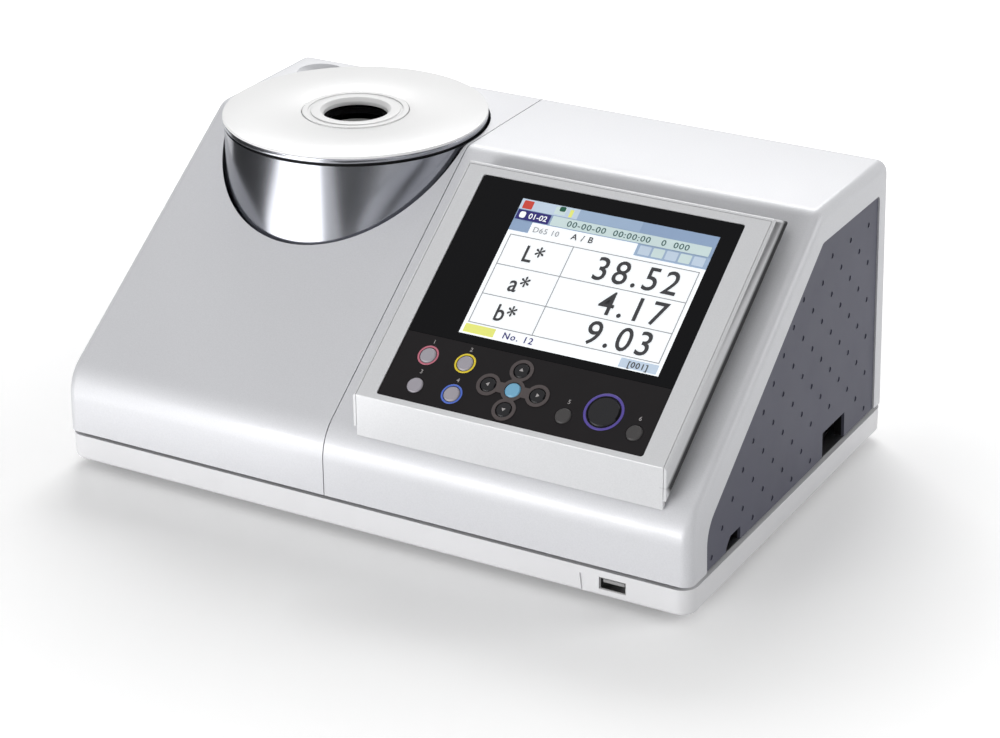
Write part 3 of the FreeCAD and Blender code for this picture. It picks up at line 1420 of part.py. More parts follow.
def write_parts():
    """Check every object, then write each sub-part to its own file."""
    doc.recompute()
    bad = [each.Name for each in doc.Objects if {"Invalid", "Error"} & set(each.State)]
    for node in nodes:
        if node.Shape.isNull() or not node.Shape.isValid() or not node.Shape.Solids:
            bad.append(node.Label)
    if bad:
        raise RuntimeError("not sound: " + ", ".join(sorted(bad)))
    os.makedirs("parts", exist_ok=True)
    for node in nodes:
        node.Shape.exportStep(f"parts/{node.Label}.step")
    print(len(nodes), "sub-parts")


for build in (
    base_shell, feet, deck, tray_board, tower, measuring_plate, sphere, lamp, left_cover,
    chamber, receiver, rails, side_sockets, slide_cover, side_panel, display_housing,
    display_bezel, display_inside, cross_surround, keys, write_parts,
):
    build()
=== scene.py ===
import json
import logging
import math
from dataclasses import dataclass
from enum import Enum
from typing import Callable, Optional, Sequence

import bpy
from mathutils import Matrix, Vector

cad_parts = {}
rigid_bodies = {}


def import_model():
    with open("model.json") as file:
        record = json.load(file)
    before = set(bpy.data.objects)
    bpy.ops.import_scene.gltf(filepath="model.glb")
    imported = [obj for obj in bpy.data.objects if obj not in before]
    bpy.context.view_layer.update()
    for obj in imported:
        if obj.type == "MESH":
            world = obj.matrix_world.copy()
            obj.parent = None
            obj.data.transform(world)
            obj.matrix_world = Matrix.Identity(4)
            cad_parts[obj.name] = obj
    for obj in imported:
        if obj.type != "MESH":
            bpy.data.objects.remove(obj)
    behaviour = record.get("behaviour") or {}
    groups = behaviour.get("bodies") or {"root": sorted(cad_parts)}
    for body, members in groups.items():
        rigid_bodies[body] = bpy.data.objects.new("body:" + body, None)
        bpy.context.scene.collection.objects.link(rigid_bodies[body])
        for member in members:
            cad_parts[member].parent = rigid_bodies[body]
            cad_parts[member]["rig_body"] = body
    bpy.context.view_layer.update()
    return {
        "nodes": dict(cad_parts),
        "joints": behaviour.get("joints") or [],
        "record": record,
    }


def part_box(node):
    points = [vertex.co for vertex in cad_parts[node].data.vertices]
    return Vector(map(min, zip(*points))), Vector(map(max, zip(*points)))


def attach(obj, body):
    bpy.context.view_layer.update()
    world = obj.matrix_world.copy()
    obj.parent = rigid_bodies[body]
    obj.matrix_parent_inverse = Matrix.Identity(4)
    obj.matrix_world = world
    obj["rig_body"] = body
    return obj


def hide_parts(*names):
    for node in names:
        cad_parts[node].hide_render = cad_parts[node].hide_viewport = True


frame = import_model()

logging.basicConfig(level=logging.INFO, format="%(message)s")
log = logging.getLogger("colorimeter")

MM = 0.001
COAT_ROUGHNESS = 0.05
LOW_WEAR, HIGH_WEAR = 0.85, 1.15
WEAR_WIDTH = 0.03
GRAIN_STRENGTH = 0.35
SLOPE_TILT = math.radians(35.51)
Colour = tuple[float, float, float]
Point = tuple[float, float, float]


class Grain(Enum):
    """The surface that a finish has when seen from close by."""

    PAINT = "fine metal flake under satin paint"
    MOULDED = "fine spark-eroded moulding"
    ENAMEL = "smooth enamel with faint orange peel"
    BRUSHED = "fine lines along one axis"
    POLISHED = "bright polish with faint smears"
    DUSTY = "dead matt coating"
    LACQUER = "printed board under lacquer"


@dataclass(frozen=True)
class Finish:
    """How one surface is coloured, how rough it is and what grain it has.

    Args:
        name: name of the material.
        colour: base colour, linear.
        roughness: mean roughness.
        metallic: 1 for bare metal.
        grain: pattern of the surface.
        size: width of the grain, in metres.
        depth: height of the grain's bump, in metres.
        shift: how far the colour drifts over the surface, as a share.
        coat: weight of the clear coat.
        glow: strength of its own light.
        shine: level of the surface's plain reflection, 0.5 for common plastic.
    """

    name: str
    colour: Colour
    roughness: float = 0.45
    metallic: float = 0.0
    grain: Grain = Grain.MOULDED
    size: float = 0.0008
    depth: float = 0.00002
    shift: float = 0.03
    coat: float = 0.0
    glow: float = 0.0
    shine: float = 0.5

    def build(self) -> bpy.types.Material:
        """Make the node material of this finish.

        Returns:
            The material, with colour drift, roughness drift and grain on object coordinates.
        """
        material = bpy.data.materials.new(self.name)
        material.use_nodes = True
        tree = material.node_tree
        shader = tree.nodes["Principled BSDF"]
        shader.inputs["Metallic"].default_value = self.metallic
        shader.inputs["Coat Weight"].default_value = self.coat
        shader.inputs["Coat Roughness"].default_value = COAT_ROUGHNESS
        shader.inputs["Specular IOR Level"].default_value = self.shine
        place = tree.nodes.new("ShaderNodeTexCoord").outputs["Object"]
        self._drift_colour(tree, shader, place)
        self._drift_roughness(tree, shader, place)
        self._raise_grain(tree, shader, place)
        if self.glow:
            shader.inputs["Emission Color"].default_value = (*self.colour, 1.0)
            shader.inputs["Emission Strength"].default_value = self.glow
        return material

    def _noise(self, tree: bpy.types.NodeTree, place: bpy.types.NodeSocket,
               width: float, detail: float) -> bpy.types.NodeSocket:
        """Noise whose blobs are about a width across, on object coordinates."""
        noise = tree.nodes.new("ShaderNodeTexNoise")
        noise.inputs["Scale"].default_value = 1.0 / width
        noise.inputs["Detail"].default_value = detail
        tree.links.new(place, noise.inputs["Vector"])
        return noise.outputs["Fac"]

    def _drift_colour(self, tree: bpy.types.NodeTree, shader: bpy.types.Node,
                      place: bpy.types.NodeSocket) -> None:
        """Let the colour drift a little over the surface."""
        ramp = tree.nodes.new("ShaderNodeValToRGB")
        dark = tuple(channel * (1.0 - self.shift) for channel in self.colour)
        light = tuple(min(1.0, channel * (1.0 + self.shift)) for channel in self.colour)
        ramp.color_ramp.elements[0].color = (*dark, 1.0)
        ramp.color_ramp.elements[0].position = 0.3
        ramp.color_ramp.elements[1].color = (*light, 1.0)
        ramp.color_ramp.elements[1].position = 0.7
        width = self.size * (2.0 if self.grain in (Grain.PAINT, Grain.DUSTY) else 40.0)
        tree.links.new(self._noise(tree, place, width, 3.0), ramp.inputs["Fac"])
        tree.links.new(ramp.outputs["Color"], shader.inputs["Base Color"])

    def _drift_roughness(self, tree: bpy.types.NodeTree, shader: bpy.types.Node,
                         place: bpy.types.NodeSocket) -> None:
        """Let the roughness drift, as handling and cleaning leave it."""
        spread = tree.nodes.new("ShaderNodeMapRange")
        spread.inputs["To Min"].default_value = self.roughness * LOW_WEAR
        spread.inputs["To Max"].default_value = min(1.0, self.roughness * HIGH_WEAR)
        tree.links.new(self._noise(tree, place, WEAR_WIDTH, 4.0), spread.inputs["Value"])
        tree.links.new(spread.outputs["Result"], shader.inputs["Roughness"])

    def _raise_grain(self, tree: bpy.types.NodeTree, shader: bpy.types.Node,
                     place: bpy.types.NodeSocket) -> None:
        """Give the surface the bump of its grain."""
        source = place
        if self.grain is Grain.BRUSHED:
            stretch = tree.nodes.new("ShaderNodeMapping")
            stretch.inputs["Scale"].default_value = (0.02, 1.0, 1.0)
            tree.links.new(place, stretch.inputs["Vector"])
            source = stretch.outputs["Vector"]
        if self.grain is Grain.PAINT:
            flake = tree.nodes.new("ShaderNodeTexVoronoi")
            flake.inputs["Scale"].default_value = 1.0 / self.size
            tree.links.new(source, flake.inputs["Vector"])
            height = flake.outputs["Distance"]
        else:
            height = self._noise(tree, source, self.size, 2.0)
        bump = tree.nodes.new("ShaderNodeBump")
        bump.inputs["Strength"].default_value = GRAIN_STRENGTH
        bump.inputs["Distance"].default_value = self.depth
        tree.links.new(height, bump.inputs["Height"])
        tree.links.new(bump.outputs["Normal"], shader.inputs["Normal"])


@dataclass(frozen=True)
class Glazing:
    """A clear material for lenses and lamp glass.

    Args:
        name: name of the material.
        colour: tint of the glass.
    """

    name: str
    colour: Colour

    def build(self) -> bpy.types.Material:
        """Make the glass, with a faint bloom in its roughness."""
        material = bpy.data.materials.new(self.name)
        material.use_nodes = True
        tree = material.node_tree
        shader = tree.nodes["Principled BSDF"]
        shader.inputs["Base Color"].default_value = (*self.colour, 1.0)
        shader.inputs["Transmission Weight"].default_value = 1.0
        shader.inputs["IOR"].default_value = 1.5
        bloom = tree.nodes.new("ShaderNodeTexNoise")
        bloom.inputs["Scale"].default_value = 60.0
        spread = tree.nodes.new("ShaderNodeMapRange")
        spread.inputs["To Min"].default_value = 0.01
        spread.inputs["To Max"].default_value = 0.06
        place = tree.nodes.new("ShaderNodeTexCoord").outputs["Object"]
        tree.links.new(place, bloom.inputs["Vector"])
        tree.links.new(bloom.outputs["Fac"], spread.inputs["Value"])
        tree.links.new(spread.outputs["Result"], shader.inputs["Roughness"])
        return material


FINISHES: dict[str, Finish | Glazing] = {finish.name: finish for finish in (
    Finish("silver_shell", (0.66, 0.665, 0.69), 0.42, 0.1, Grain.PAINT,
           0.00035, 0.000012, 0.03, 0.12),
    Finish("base_white", (0.74, 0.74, 0.755), 0.42, 0.0, Grain.MOULDED,
           0.0006, 0.00001, 0.015, 0.1),
    Finish("panel_grey", (0.076, 0.078, 0.110), 0.5, 0.0, Grain.MOULDED,
           0.0009, 0.00004, 0.05),
    Finish("chrome_tower", (0.44, 0.45, 0.49), 0.2, 1.0, Grain.POLISHED,
           0.004, 0.000004, 0.01),
    Finish("plate_white", (0.86, 0.86, 0.86), 0.3, 0.0, Grain.ENAMEL,
           0.002, 0.000004, 0.01, 0.4),
    Finish("mask_white", (0.80, 0.80, 0.80), 0.4, 0.0, Grain.MOULDED,
           0.0006, 0.000006, 0.015),
    Finish("port_black", (0.02, 0.02, 0.022), 0.12, 0.6, Grain.POLISHED,
           0.003, 0.000006, 0.1),
    Finish("sphere_white", (0.82, 0.82, 0.80), 0.95, 0.0, Grain.DUSTY,
           0.0006, 0.00002, 0.01),
    Finish("deck_steel", (0.42, 0.43, 0.45), 0.35, 1.0, Grain.BRUSHED,
           0.0006, 0.000006, 0.05),
    Finish("rail_steel", (0.5, 0.5, 0.52), 0.22, 1.0, Grain.BRUSHED,
           0.0004, 0.000006, 0.05),
    Finish("aluminium", (0.62, 0.63, 0.65), 0.3, 1.0, Grain.BRUSHED,
           0.0005, 0.000006, 0.04),
    Finish("chamber_black", (0.02, 0.02, 0.022), 0.7, 0.0, Grain.DUSTY,
           0.0006, 0.00002, 0.08),
    Finish("bezel_silver", (0.66, 0.665, 0.68), 0.4, 0.1, Grain.PAINT,
           0.00035, 0.00001, 0.03, 0.12),
    Finish("window_black", (0.004, 0.004, 0.005), 0.07, 0.0, Grain.ENAMEL,
           0.004, 0.000002, 0.1, shine=0.08),
    Finish("keypad_black", (0.012, 0.0105, 0.0115), 0.4, 0.0, Grain.MOULDED,
           0.0005, 0.00001, 0.06, shine=0.12),
    Finish("surround_brown", (0.075, 0.062, 0.062), 0.45, 0.0, Grain.MOULDED,
           0.0005, 0.00001, 0.05, shine=0.3),
    Finish("key_grey", (0.36, 0.34, 0.38), 0.4, 0.0, Grain.MOULDED,
           0.0004, 0.000008, 0.04),
    Finish("key_dark", (0.055, 0.052, 0.052), 0.4, 0.0, Grain.MOULDED,
           0.0004, 0.000008, 0.05, shine=0.3),
    Finish("key_black", (0.006, 0.006, 0.008), 0.2, 0.0, Grain.ENAMEL,
           0.002, 0.000004, 0.1, shine=0.3),
    Finish("key_light_blue", (0.16, 0.42, 0.62), 0.25, 0.0, Grain.ENAMEL,
           0.002, 0.000004, 0.05, 0.3),
    Finish("board_green", (0.02, 0.12, 0.05), 0.4, 0.0, Grain.LACQUER,
           0.002, 0.00002, 0.15, 0.2),
    Finish("socket_metal", (0.5, 0.5, 0.5), 0.28, 1.0, Grain.BRUSHED,
           0.0004, 0.000004, 0.05),
    Finish("black_plastic", (0.012, 0.012, 0.013), 0.5, 0.0, Grain.MOULDED,
           0.0006, 0.00002, 0.1),
    Finish("capacitor_blue", (0.02, 0.04, 0.16), 0.35, 0.0, Grain.ENAMEL,
           0.002, 0.000004, 0.05),
    Finish("rubber_black", (0.02, 0.02, 0.02), 0.8, 0.0, Grain.DUSTY,
           0.0007, 0.00003, 0.1),
    Finish("glide_black", (0.02, 0.02, 0.02), 0.35, 0.0, Grain.MOULDED,
           0.0008, 0.00001, 0.1),
    Glazing("lamp_glass", (0.95, 0.97, 1.0)),
    Glazing("lens_glass", (0.9, 0.95, 1.0)),
)}


def lit(name: str, colour: Colour, roughness: float, shift: float, glow: float) -> Finish:
    """A flat colour of the screen.

    Args:
        name: name of the material.
        colour: base colour, linear.
        roughness: mean roughness.
        shift: how far the colour drifts, as a share.
        glow: strength of its own light.

    Returns:
        The finish.
    """
    return Finish(name, colour, roughness, 0.0, Grain.ENAMEL, 0.002, 0.000001, shift,
                  glow=glow, shine=0.2)


# Finishes of what the scene adds
PRINTS: dict[str, Finish] = {finish.name: finish for finish in (
    lit("screen_white", (0.90, 0.93, 0.95), 0.2, 0.01, 0.3),
    lit("screen_line", (0.40, 0.41, 0.43), 0.3, 0.02, 0.1),
    lit("screen_ink", (0.055, 0.055, 0.06), 0.3, 0.05, 0.0),
    lit("screen_blue", (0.27, 0.37, 0.54), 0.25, 0.05, 0.18),
    lit("screen_mid_blue", (0.33, 0.44, 0.60), 0.25, 0.05, 0.18),
    lit("screen_pale_blue", (0.52, 0.62, 0.74), 0.25, 0.05, 0.2),
    lit("screen_mint", (0.58, 0.70, 0.70), 0.25, 0.05, 0.2),
    lit("screen_teal", (0.06, 0.14, 0.14), 0.3, 0.05, 0.0),
    lit("screen_green", (0.02, 0.12, 0.07), 0.3, 0.05, 0.0),
    lit("screen_navy", (0.035, 0.03, 0.19), 0.25, 0.05, 0.05),
    lit("screen_red", (0.62, 0.07, 0.05), 0.25, 0.05, 0.1),
    Finish("screen_yellow", (0.72, 0.74, 0.16), 0.25, 0.0, Grain.ENAMEL,
           0.002, 0.000001, 0.04, 0.5, 0.25),
    Finish("ring_pink", (0.55, 0.16, 0.22), 0.4, size=0.0004, depth=0.000006, shift=0.05),
    Finish("ring_yellow", (0.80, 0.62, 0.03), 0.4, size=0.0004, depth=0.000006, shift=0.05),
    Finish("ring_blue", (0.08, 0.16, 0.62), 0.4, size=0.0004, depth=0.000006, shift=0.05),
    Finish("ring_violet", (0.09, 0.06, 0.34), 0.35, size=0.0004, depth=0.000006, shift=0.05),
    Finish("print_pale", (0.42, 0.40, 0.40), 0.45, size=0.0004, depth=0.000004, shift=0.05),
)}


class Workbench:
    """Shared bench work: picking objects, placing them and handing them to the frame."""

    def __init__(self) -> None:
        """Build every finish once."""
        self.materials = {name: finish.build() for name, finish in {**FINISHES, **PRINTS}.items()}

    @staticmethod
    def clear() -> None:
        """Deselect everything."""
        bpy.ops.object.select_all(action="DESELECT")

    @staticmethod
    def pick(piece: bpy.types.Object) -> None:
        """Select one object alone and make it active."""
        Workbench.clear()
        piece.select_set(True)
        bpy.context.view_layer.objects.active = piece

    def hand_over(self, piece: bpy.types.Object, name: str, body: str, finish: str,
                  record_slot: str, place: Optional[Matrix] = None) -> bpy.types.Object:
        """Name, place, dress and fasten a new piece.

        Args:
            piece: the object, modelled about its own origin.
            name: name of the piece.
            body: CAD body that it rides on.
            finish: key of its material.
            record_slot: slot of the record; not used.
            place: matrix that puts it in the row frame.

        Returns:
            The same object, at the origin with its place in its mesh.
        """
        self.pick(piece)
        bpy.ops.object.transform_apply(location=True, rotation=True, scale=True)
        if place is not None:
            piece.data.transform(place)
        piece.name = name
        piece.data.name = name
        piece.data.materials.clear()
        piece.data.materials.append(self.materials[finish])
        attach(piece, body)
        return piece


@dataclass(frozen=True)
class Slope:
    """The display unit's own frame: across, up the slope and out of it.

    Args:
        origin: point of the window's front left top corner.
        up: unit vector up the slope.
        out: unit vector out of the slope.
        width: width of the window and keypad.
        length: length of window and keypad up the slope.
    """

    origin: Vector
    up: Vector
    out: Vector
    width: float
    length: float

    @classmethod
    def measure(cls) -> "Slope":
        """Read the frame of the display unit from the keypad, the window and a key's joint."""
        press = next(joint for joint in frame["joints"] if joint["child"] == "key_measure")
        out = -Vector(press["axis"]).normalized()
        up = Vector((0.0, out.z, -out.y))
        low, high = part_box("key_overlay")
        points = [vertex.co for node in ("key_overlay", "display_window")
                  for vertex in frame["nodes"][node].data.vertices]
        start = min(point.dot(up) for point in points)
        end = max(point.dot(up) for point in points)
        top = max(point.dot(out) for point in points)
        origin = Vector((low.x, 0.0, 0.0)) + up * start + out * top
        return cls(origin, up, out, high.x - low.x, end - start)

    def matrix(self, x: float, along: float, height: float = 0.0) -> Matrix:
        """Matrix of a place on the slope.

        Args:
            x: distance across from the left edge of the window.
            along: distance up the slope from the keypad's front edge.
            height: height over the window's top face.

        Returns:
            A matrix with X across, Y up the slope and Z out of it.
        """
        across = Vector((1.0, 0.0, 0.0))
        point = self.origin + across * x + self.up * along + self.out * height
        turn = Matrix((across, self.up, self.out)).transposed().to_4x4()
        return Matrix.Translation(point) @ turn

    def place_of(self, node: str) -> tuple[float, float, float]:
        """Place of a CAD node's middle on the slope, and the height of its top."""
        points = [vertex.co for vertex in frame["nodes"][node].data.vertices]
        low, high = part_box(node)
        along = [point.dot(self.up) for point in points]
        top = max(point.dot(self.out) for point in points)
        middle = (min(along) + max(along)) / 2 - self.origin.dot(self.up)
        return (low.x + high.x) / 2 - self.origin.x, middle, top - self.origin.dot(self.out)


@dataclass(frozen=True)
class DarkBox:
    """A box inside which a finish is painted black: painted shade for gaps and recesses that take
    no light.

    Args:
        low: lower corner of the box.
        high: upper corner of it.
        tilt: turn of the box about X, in radians.
        soft: width over which the colour comes back.
    """

    low: Point
    high: Point
    tilt: float = 0.0
    soft: float = 0.00005

    def lay(self, material: bpy.types.Material) -> None:
        """Paint shade: turn the colour of a material to black inside the box.

        Args:
            material: a material whose colour comes from a node.
        """
        tree = material.node_tree
        low, high = Vector(self.low), Vector(self.high)
        turn = tree.nodes.new("ShaderNodeMapping")
        turn.inputs["Rotation"].default_value = (-self.tilt, 0.0, 0.0)
        tree.links.new(tree.nodes.new("ShaderNodeTexCoord").outputs["Object"],
                       turn.inputs["Vector"])
        flow = turn.outputs["Vector"]
        for operation, value in (("SUBTRACT", (low + high) / 2.0), ("ABSOLUTE", Vector()),
                                 ("SUBTRACT", (high - low) / 2.0)):
            step = tree.nodes.new("ShaderNodeVectorMath")
            step.operation = operation
            step.inputs[1].default_value = value
            tree.links.new(flow, step.inputs[0])
            flow = step.outputs["Vector"]
        split = tree.nodes.new("ShaderNodeSeparateXYZ")
        tree.links.new(flow, split.inputs[0])
        reach = split.outputs["X"]
        for axis in ("Y", "Z"):
            step = tree.nodes.new("ShaderNodeMath")
            step.operation = "MAXIMUM"
            tree.links.new(reach, step.inputs[0])
            tree.links.new(split.outputs[axis], step.inputs[1])
            reach = step.outputs["Value"]
        fade = tree.nodes.new("ShaderNodeMapRange")
        fade.inputs["From Max"].default_value = self.soft
        tree.links.new(reach, fade.inputs["Value"])
        colour = tree.nodes["Principled BSDF"].inputs["Base Color"]
        shade = tree.nodes.new("ShaderNodeVectorMath")
        shade.operation = "MULTIPLY"
        tree.links.new(colour.links[0].from_socket, shade.inputs[0])
        tree.links.new(fade.outputs["Result"], shade.inputs[1])
        tree.links.new(shade.outputs["Vector"], colour)


# Painted shade: black painted on the cover's walls in the two notches of its side panel, on the
# board that would show green there and in the seam over the tray, and as a soft band at the
# display's right foot where its shadow gap falls
PAINTED_SHADE_BOXES: tuple[tuple[str, DarkBox], ...] = (
    ("silver_shell", DarkBox((0.150, 0.0409, 0.0215), (0.193, 0.0711, 0.0371))),
    ("silver_shell", DarkBox((0.150, -0.0811, 0.0215), (0.193, -0.0639, 0.0296))),
    ("board_green", DarkBox((0.1600, -0.1240, 0.0185), (0.1920, 0.1240, 0.0600))),
    ("bezel_silver", DarkBox((0.1745, -0.0530, 0.1200), (0.1800, 0.1120, 0.1262),
                             SLOPE_TILT, 0.003)),
)


@dataclass
class Casing:
    """The CAD nodes that stay: they get their finish and smooth rounded edges."""

    bench: Workbench
    sharp: float = math.radians(28.0)
    join: float = 0.000001

    def dress(self) -> None:
        """Put each node's material on it and smooth its rounds."""
        slots = {row["node"]: row["material_slot"] for row in frame["record"]["subparts"]}
        for name, node in frame["nodes"].items():
            node.data.materials.clear()
            node.data.materials.append(self.bench.materials[slots[name]])
            for face in node.data.polygons:
                face.use_smooth = True
            weld = node.modifiers.new("join", "WELD")
            weld.merge_threshold = self.join
            split = node.modifiers.new("sharp", "EDGE_SPLIT")
            split.split_angle = self.sharp
        # Painted shade: the boxes paint black into the notches, the seam over the tray and the
        # display's right foot
        for finish, box in PAINTED_SHADE_BOXES:
            box.lay(self.bench.materials[finish])
        log.info("casing: %d nodes dressed", len(frame["nodes"]))


@dataclass
class Turnery:
    """Round pieces turned about the tower's axis, finer than the CAD mesh."""

    bench: Workbench
    steps: int = 180
    gap: float = 0.4 * MM
    sink: float = 1.9 * MM
    boss_inset: float = 2.0 * MM
    groove: float = 1.6 * MM
    groove_depth: float = 0.7 * MM
    chamfer: float = 2.0 * MM

    def axis(self) -> Vector:
        """Middle of the tower on the floor."""
        low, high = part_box("tower_shell")
        return Vector(((low.x + high.x) / 2, (low.y + high.y) / 2, 0.0))

    def turn(self, name: str, points: Sequence[tuple[float, float]], bevel: float,
             node: str, finish: str) -> None:
        """Spin an outline of radius and height round the tower's axis.

        Args:
            name: name of the piece.
            points: closed outline, as radius and height in metres.
            bevel: width of the soft edges.
            node: CAD node that it stands for.
            finish: key of its material.
        """
        Workbench.clear()
        bpy.ops.mesh.primitive_plane_add(size=1.0)
        piece = bpy.context.active_object
        bpy.ops.object.mode_set(mode="EDIT")
        bpy.ops.mesh.merge(type="CENTER")
        bpy.ops.transform.translate(value=(points[0][0], 0.0, points[0][1]))
        for start, end in zip(points, points[1:]):
            step = (end[0] - start[0], 0.0, end[1] - start[1])
            bpy.ops.mesh.extrude_region_move(TRANSFORM_OT_translate={"value": step})
        bpy.ops.mesh.select_all(action="SELECT")
        bpy.ops.mesh.edge_face_add()
        bpy.ops.mesh.delete(type="ONLY_FACE")
        bpy.ops.mesh.select_all(action="SELECT")
        bpy.ops.mesh.spin(steps=self.steps, angle=2 * math.pi, center=(0, 0, 0), axis=(0, 0, 1))
        bpy.ops.mesh.select_all(action="SELECT")
        bpy.ops.mesh.remove_doubles(threshold=0.000002)
        bpy.ops.mesh.normals_make_consistent(inside=False)
        bpy.ops.object.mode_set(mode="OBJECT")
        if bevel:
            soft = piece.modifiers.new("soft", "BEVEL")
            soft.width = bevel
            soft.segments = 3
            soft.limit_method = "ANGLE"
            bpy.ops.object.modifier_apply(modifier="soft")
        bpy.ops.object.shade_smooth_by_angle(angle=math.radians(35.0))
        body = frame["nodes"][node]["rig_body"]
        self.bench.hand_over(piece, name, body, finish, finish, Matrix.Translation(self.axis()))
        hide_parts(node)
        log.info("turned %s", name)

    def outline(self, node: str) -> tuple[float, float, float]:
        """Outer radius, foot and top of a round CAD node."""
        low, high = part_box(node)
        return (high.x - low.x) / 2, low.z, high.z

    def inner_radius(self, node: str) -> float:
        """Smallest distance of a CAD node's points from the tower's axis."""
        middle = self.axis()
        return min(math.hypot(vertex.co.x - middle.x, vertex.co.y - middle.y)
                   for vertex in frame["nodes"][node].data.vertices)

    def make(self) -> None:
        """Turn the measuring plate, its rim and the target mask."""
        rim_radius, rim_foot, rim_top = self.outline("plate_rim")
        self.turn("plate_rim_turned", [
            (self.inner_radius("plate_rim"), rim_foot),
            (rim_radius, rim_foot),
            (rim_radius, rim_top),
            (self.inner_radius("plate_rim"), rim_top),
        ], 0.45 * MM, "plate_rim", "chrome_tower")
        plate_radius, plate_foot, plate_top = self.outline("measuring_plate")
        seat = self.inner_radius("measuring_plate")
        mask_radius, mask_foot, mask_top = self.outline("target_mask")
        ledge = plate_top - self.sink
        boss = self.inner_radius("plate_rim") - self.boss_inset
        self.turn("measuring_plate_turned", [
            (seat, plate_foot),
            (boss, plate_foot),
            (boss, rim_top),
            (plate_radius, rim_top),
            (plate_radius, plate_top),
            (mask_radius + self.gap, plate_top),
            (mask_radius + self.gap, ledge),
            (seat, ledge),
        ], 0.35 * MM, "measuring_plate", "plate_white")
        hole = self.inner_radius("target_mask")
        step = seat - self.gap
        inner, outer = step - self.groove / 2, step + self.groove / 2
        floor = mask_top - self.groove_depth
        self.turn("target_mask_turned", [
            (hole, mask_foot),
            (step, mask_foot),
            (step, ledge),
            (mask_radius, ledge),
            (mask_radius, mask_top),
            (outer, mask_top),
            (outer, floor),
            (inner, floor),
            (inner, mask_top),
            (hole + self.chamfer, mask_top),
            (hole, mask_top - self.chamfer),
        ], 0.3 * MM, "target_mask", "mask_white")


@dataclass
class Printing:
    """Flat printed shapes, rings and numerals on the slope."""

    bench: Workbench
    slope: Slope

    def tile(self, name: str, left: float, front: float, right: float, back: float,
             height: float, finish: str, thickness: float, corner: float) -> None:
        """A thin flat plate on the slope with rounded corners.

        Args:
            name: name of the piece.
            left: left edge across the window.
            front: edge nearest the keypad's front.
            right: right edge.
            back: edge furthest up the slope.
            height: height of its foot over the window.
            finish: key of its material.
            thickness: thickness of the plate.
            corner: radius of its corners.
        """
        Workbench.clear()
        bpy.ops.mesh.primitive_cube_add(size=1.0)
        piece = bpy.context.active_object
        bpy.ops.object.mode_set(mode="EDIT")
        bpy.ops.transform.resize(value=(right - left, back - front, thickness))
        if corner:
            self.select_edges(piece, lambda a, b: abs(a.z - b.z) > thickness / 2)
            bpy.ops.mesh.bevel(offset=corner, segments=5, affect="EDGES")
        bpy.ops.object.mode_set(mode="OBJECT")
        place = self.slope.matrix((left + right) / 2, (front + back) / 2, height + thickness / 2)
        self.bench.hand_over(piece, name, "cover", finish, "window_black", place)

    @staticmethod
    def select_edges(piece: bpy.types.Object, test: Callable[[Vector, Vector], bool]) -> None:
        """Select, in edit mode, the edges whose two ends pass a test."""
        bpy.ops.mesh.select_mode(type="EDGE")
        bpy.ops.mesh.select_all(action="DESELECT")
        bpy.ops.object.mode_set(mode="OBJECT")
        points = piece.data.vertices
        for edge in piece.data.edges:
            start, end = (points[index].co for index in edge.vertices)
            edge.select = test(start, end)
        bpy.ops.object.mode_set(mode="EDIT")

    def ring(self, name: str, x: float, along: float, radius: float, half: float,
             height: float, finish: str) -> None:
        """A flat printed ring round a key.

        Args:
            name: name of the piece.
            x: middle across the window.
            along: middle up the slope.
            radius: middle radius of the ring.
            half: half its width.
            height: height of its middle over the window.
            finish: key of its material.
        """
        Workbench.clear()
        bpy.ops.mesh.primitive_torus_add(major_radius=radius, minor_radius=half,
                                         major_segments=72, minor_segments=10)
        piece = bpy.context.active_object
        bpy.ops.object.mode_set(mode="EDIT")
        bpy.ops.transform.resize(value=(1.0, 1.0, 0.2))
        bpy.ops.object.mode_set(mode="OBJECT")
        bpy.ops.object.shade_smooth()
        place = self.slope.matrix(x, along, height)
        self.bench.hand_over(piece, name, "cover", finish, "keypad_black", place)

    def words(self, name: str, text: str, x: float, along: float, size: float, height: float,
              finish: str, slot: str, align: str = "CENTER", squeeze: float = 1.0,
              spread: float = 1.0, weight: float = 0.0) -> None:
        """Plain numerals or letters, as a thin raised mesh.

        Args:
            name: name of the piece.
            text: what it shows.
            x: place across the window.
            along: place up the slope.
            size: height of the type.
            height: height over the window.
            finish: key of its material.
            slot: slot of the record.
            align: LEFT, CENTER or RIGHT.
            squeeze: width of the type as a share of its own.
            spread: distance from letter to letter as a share of the type's own.
            weight: how much each stroke is thickened, as a share of the size.
        """
        Workbench.clear()
        bpy.ops.object.text_add()
        piece = bpy.context.active_object
        piece.data.body = text
        piece.data.size = size
        piece.data.align_x = align
        piece.data.align_y = "CENTER"
        piece.data.space_character = spread
        piece.data.offset = weight * size
        piece.data.extrude = 0.015 * MM
        piece.data.resolution_u = 4
        self.bench.pick(piece)
        bpy.ops.object.convert(target="MESH")
        piece = bpy.context.active_object
        piece.scale = (squeeze, 1.0, 1.0)
        place = self.slope.matrix(x, along, height)
        self.bench.hand_over(piece, name, "cover", finish, slot, place)

    def arrow(self, name: str, node: str, angle: float) -> None:
        """A small raised triangle on an arrow key.

        Args:
            name: name of the piece.
            node: key that it lies on.
            angle: direction that it points in, from across towards up the slope.
        """
        x, along, top = self.slope.place_of(node)
        Workbench.clear()
        bpy.ops.mesh.primitive_cylinder_add(vertices=3, radius=1.5 * MM, depth=0.06 * MM)
        piece = bpy.context.active_object
        bpy.ops.object.mode_set(mode="EDIT")
        bpy.ops.transform.resize(value=(0.9, 0.8, 1.0))
        bpy.ops.object.mode_set(mode="OBJECT")
        turn = Matrix.Rotation(angle - math.pi / 2, 4, "Z")
        place = self.slope.matrix(x, along, top + 0.02 * MM) @ turn
        body = frame["nodes"][node]["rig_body"]
        self.bench.hand_over(piece, name, body, "print_pale", "key_black", place)


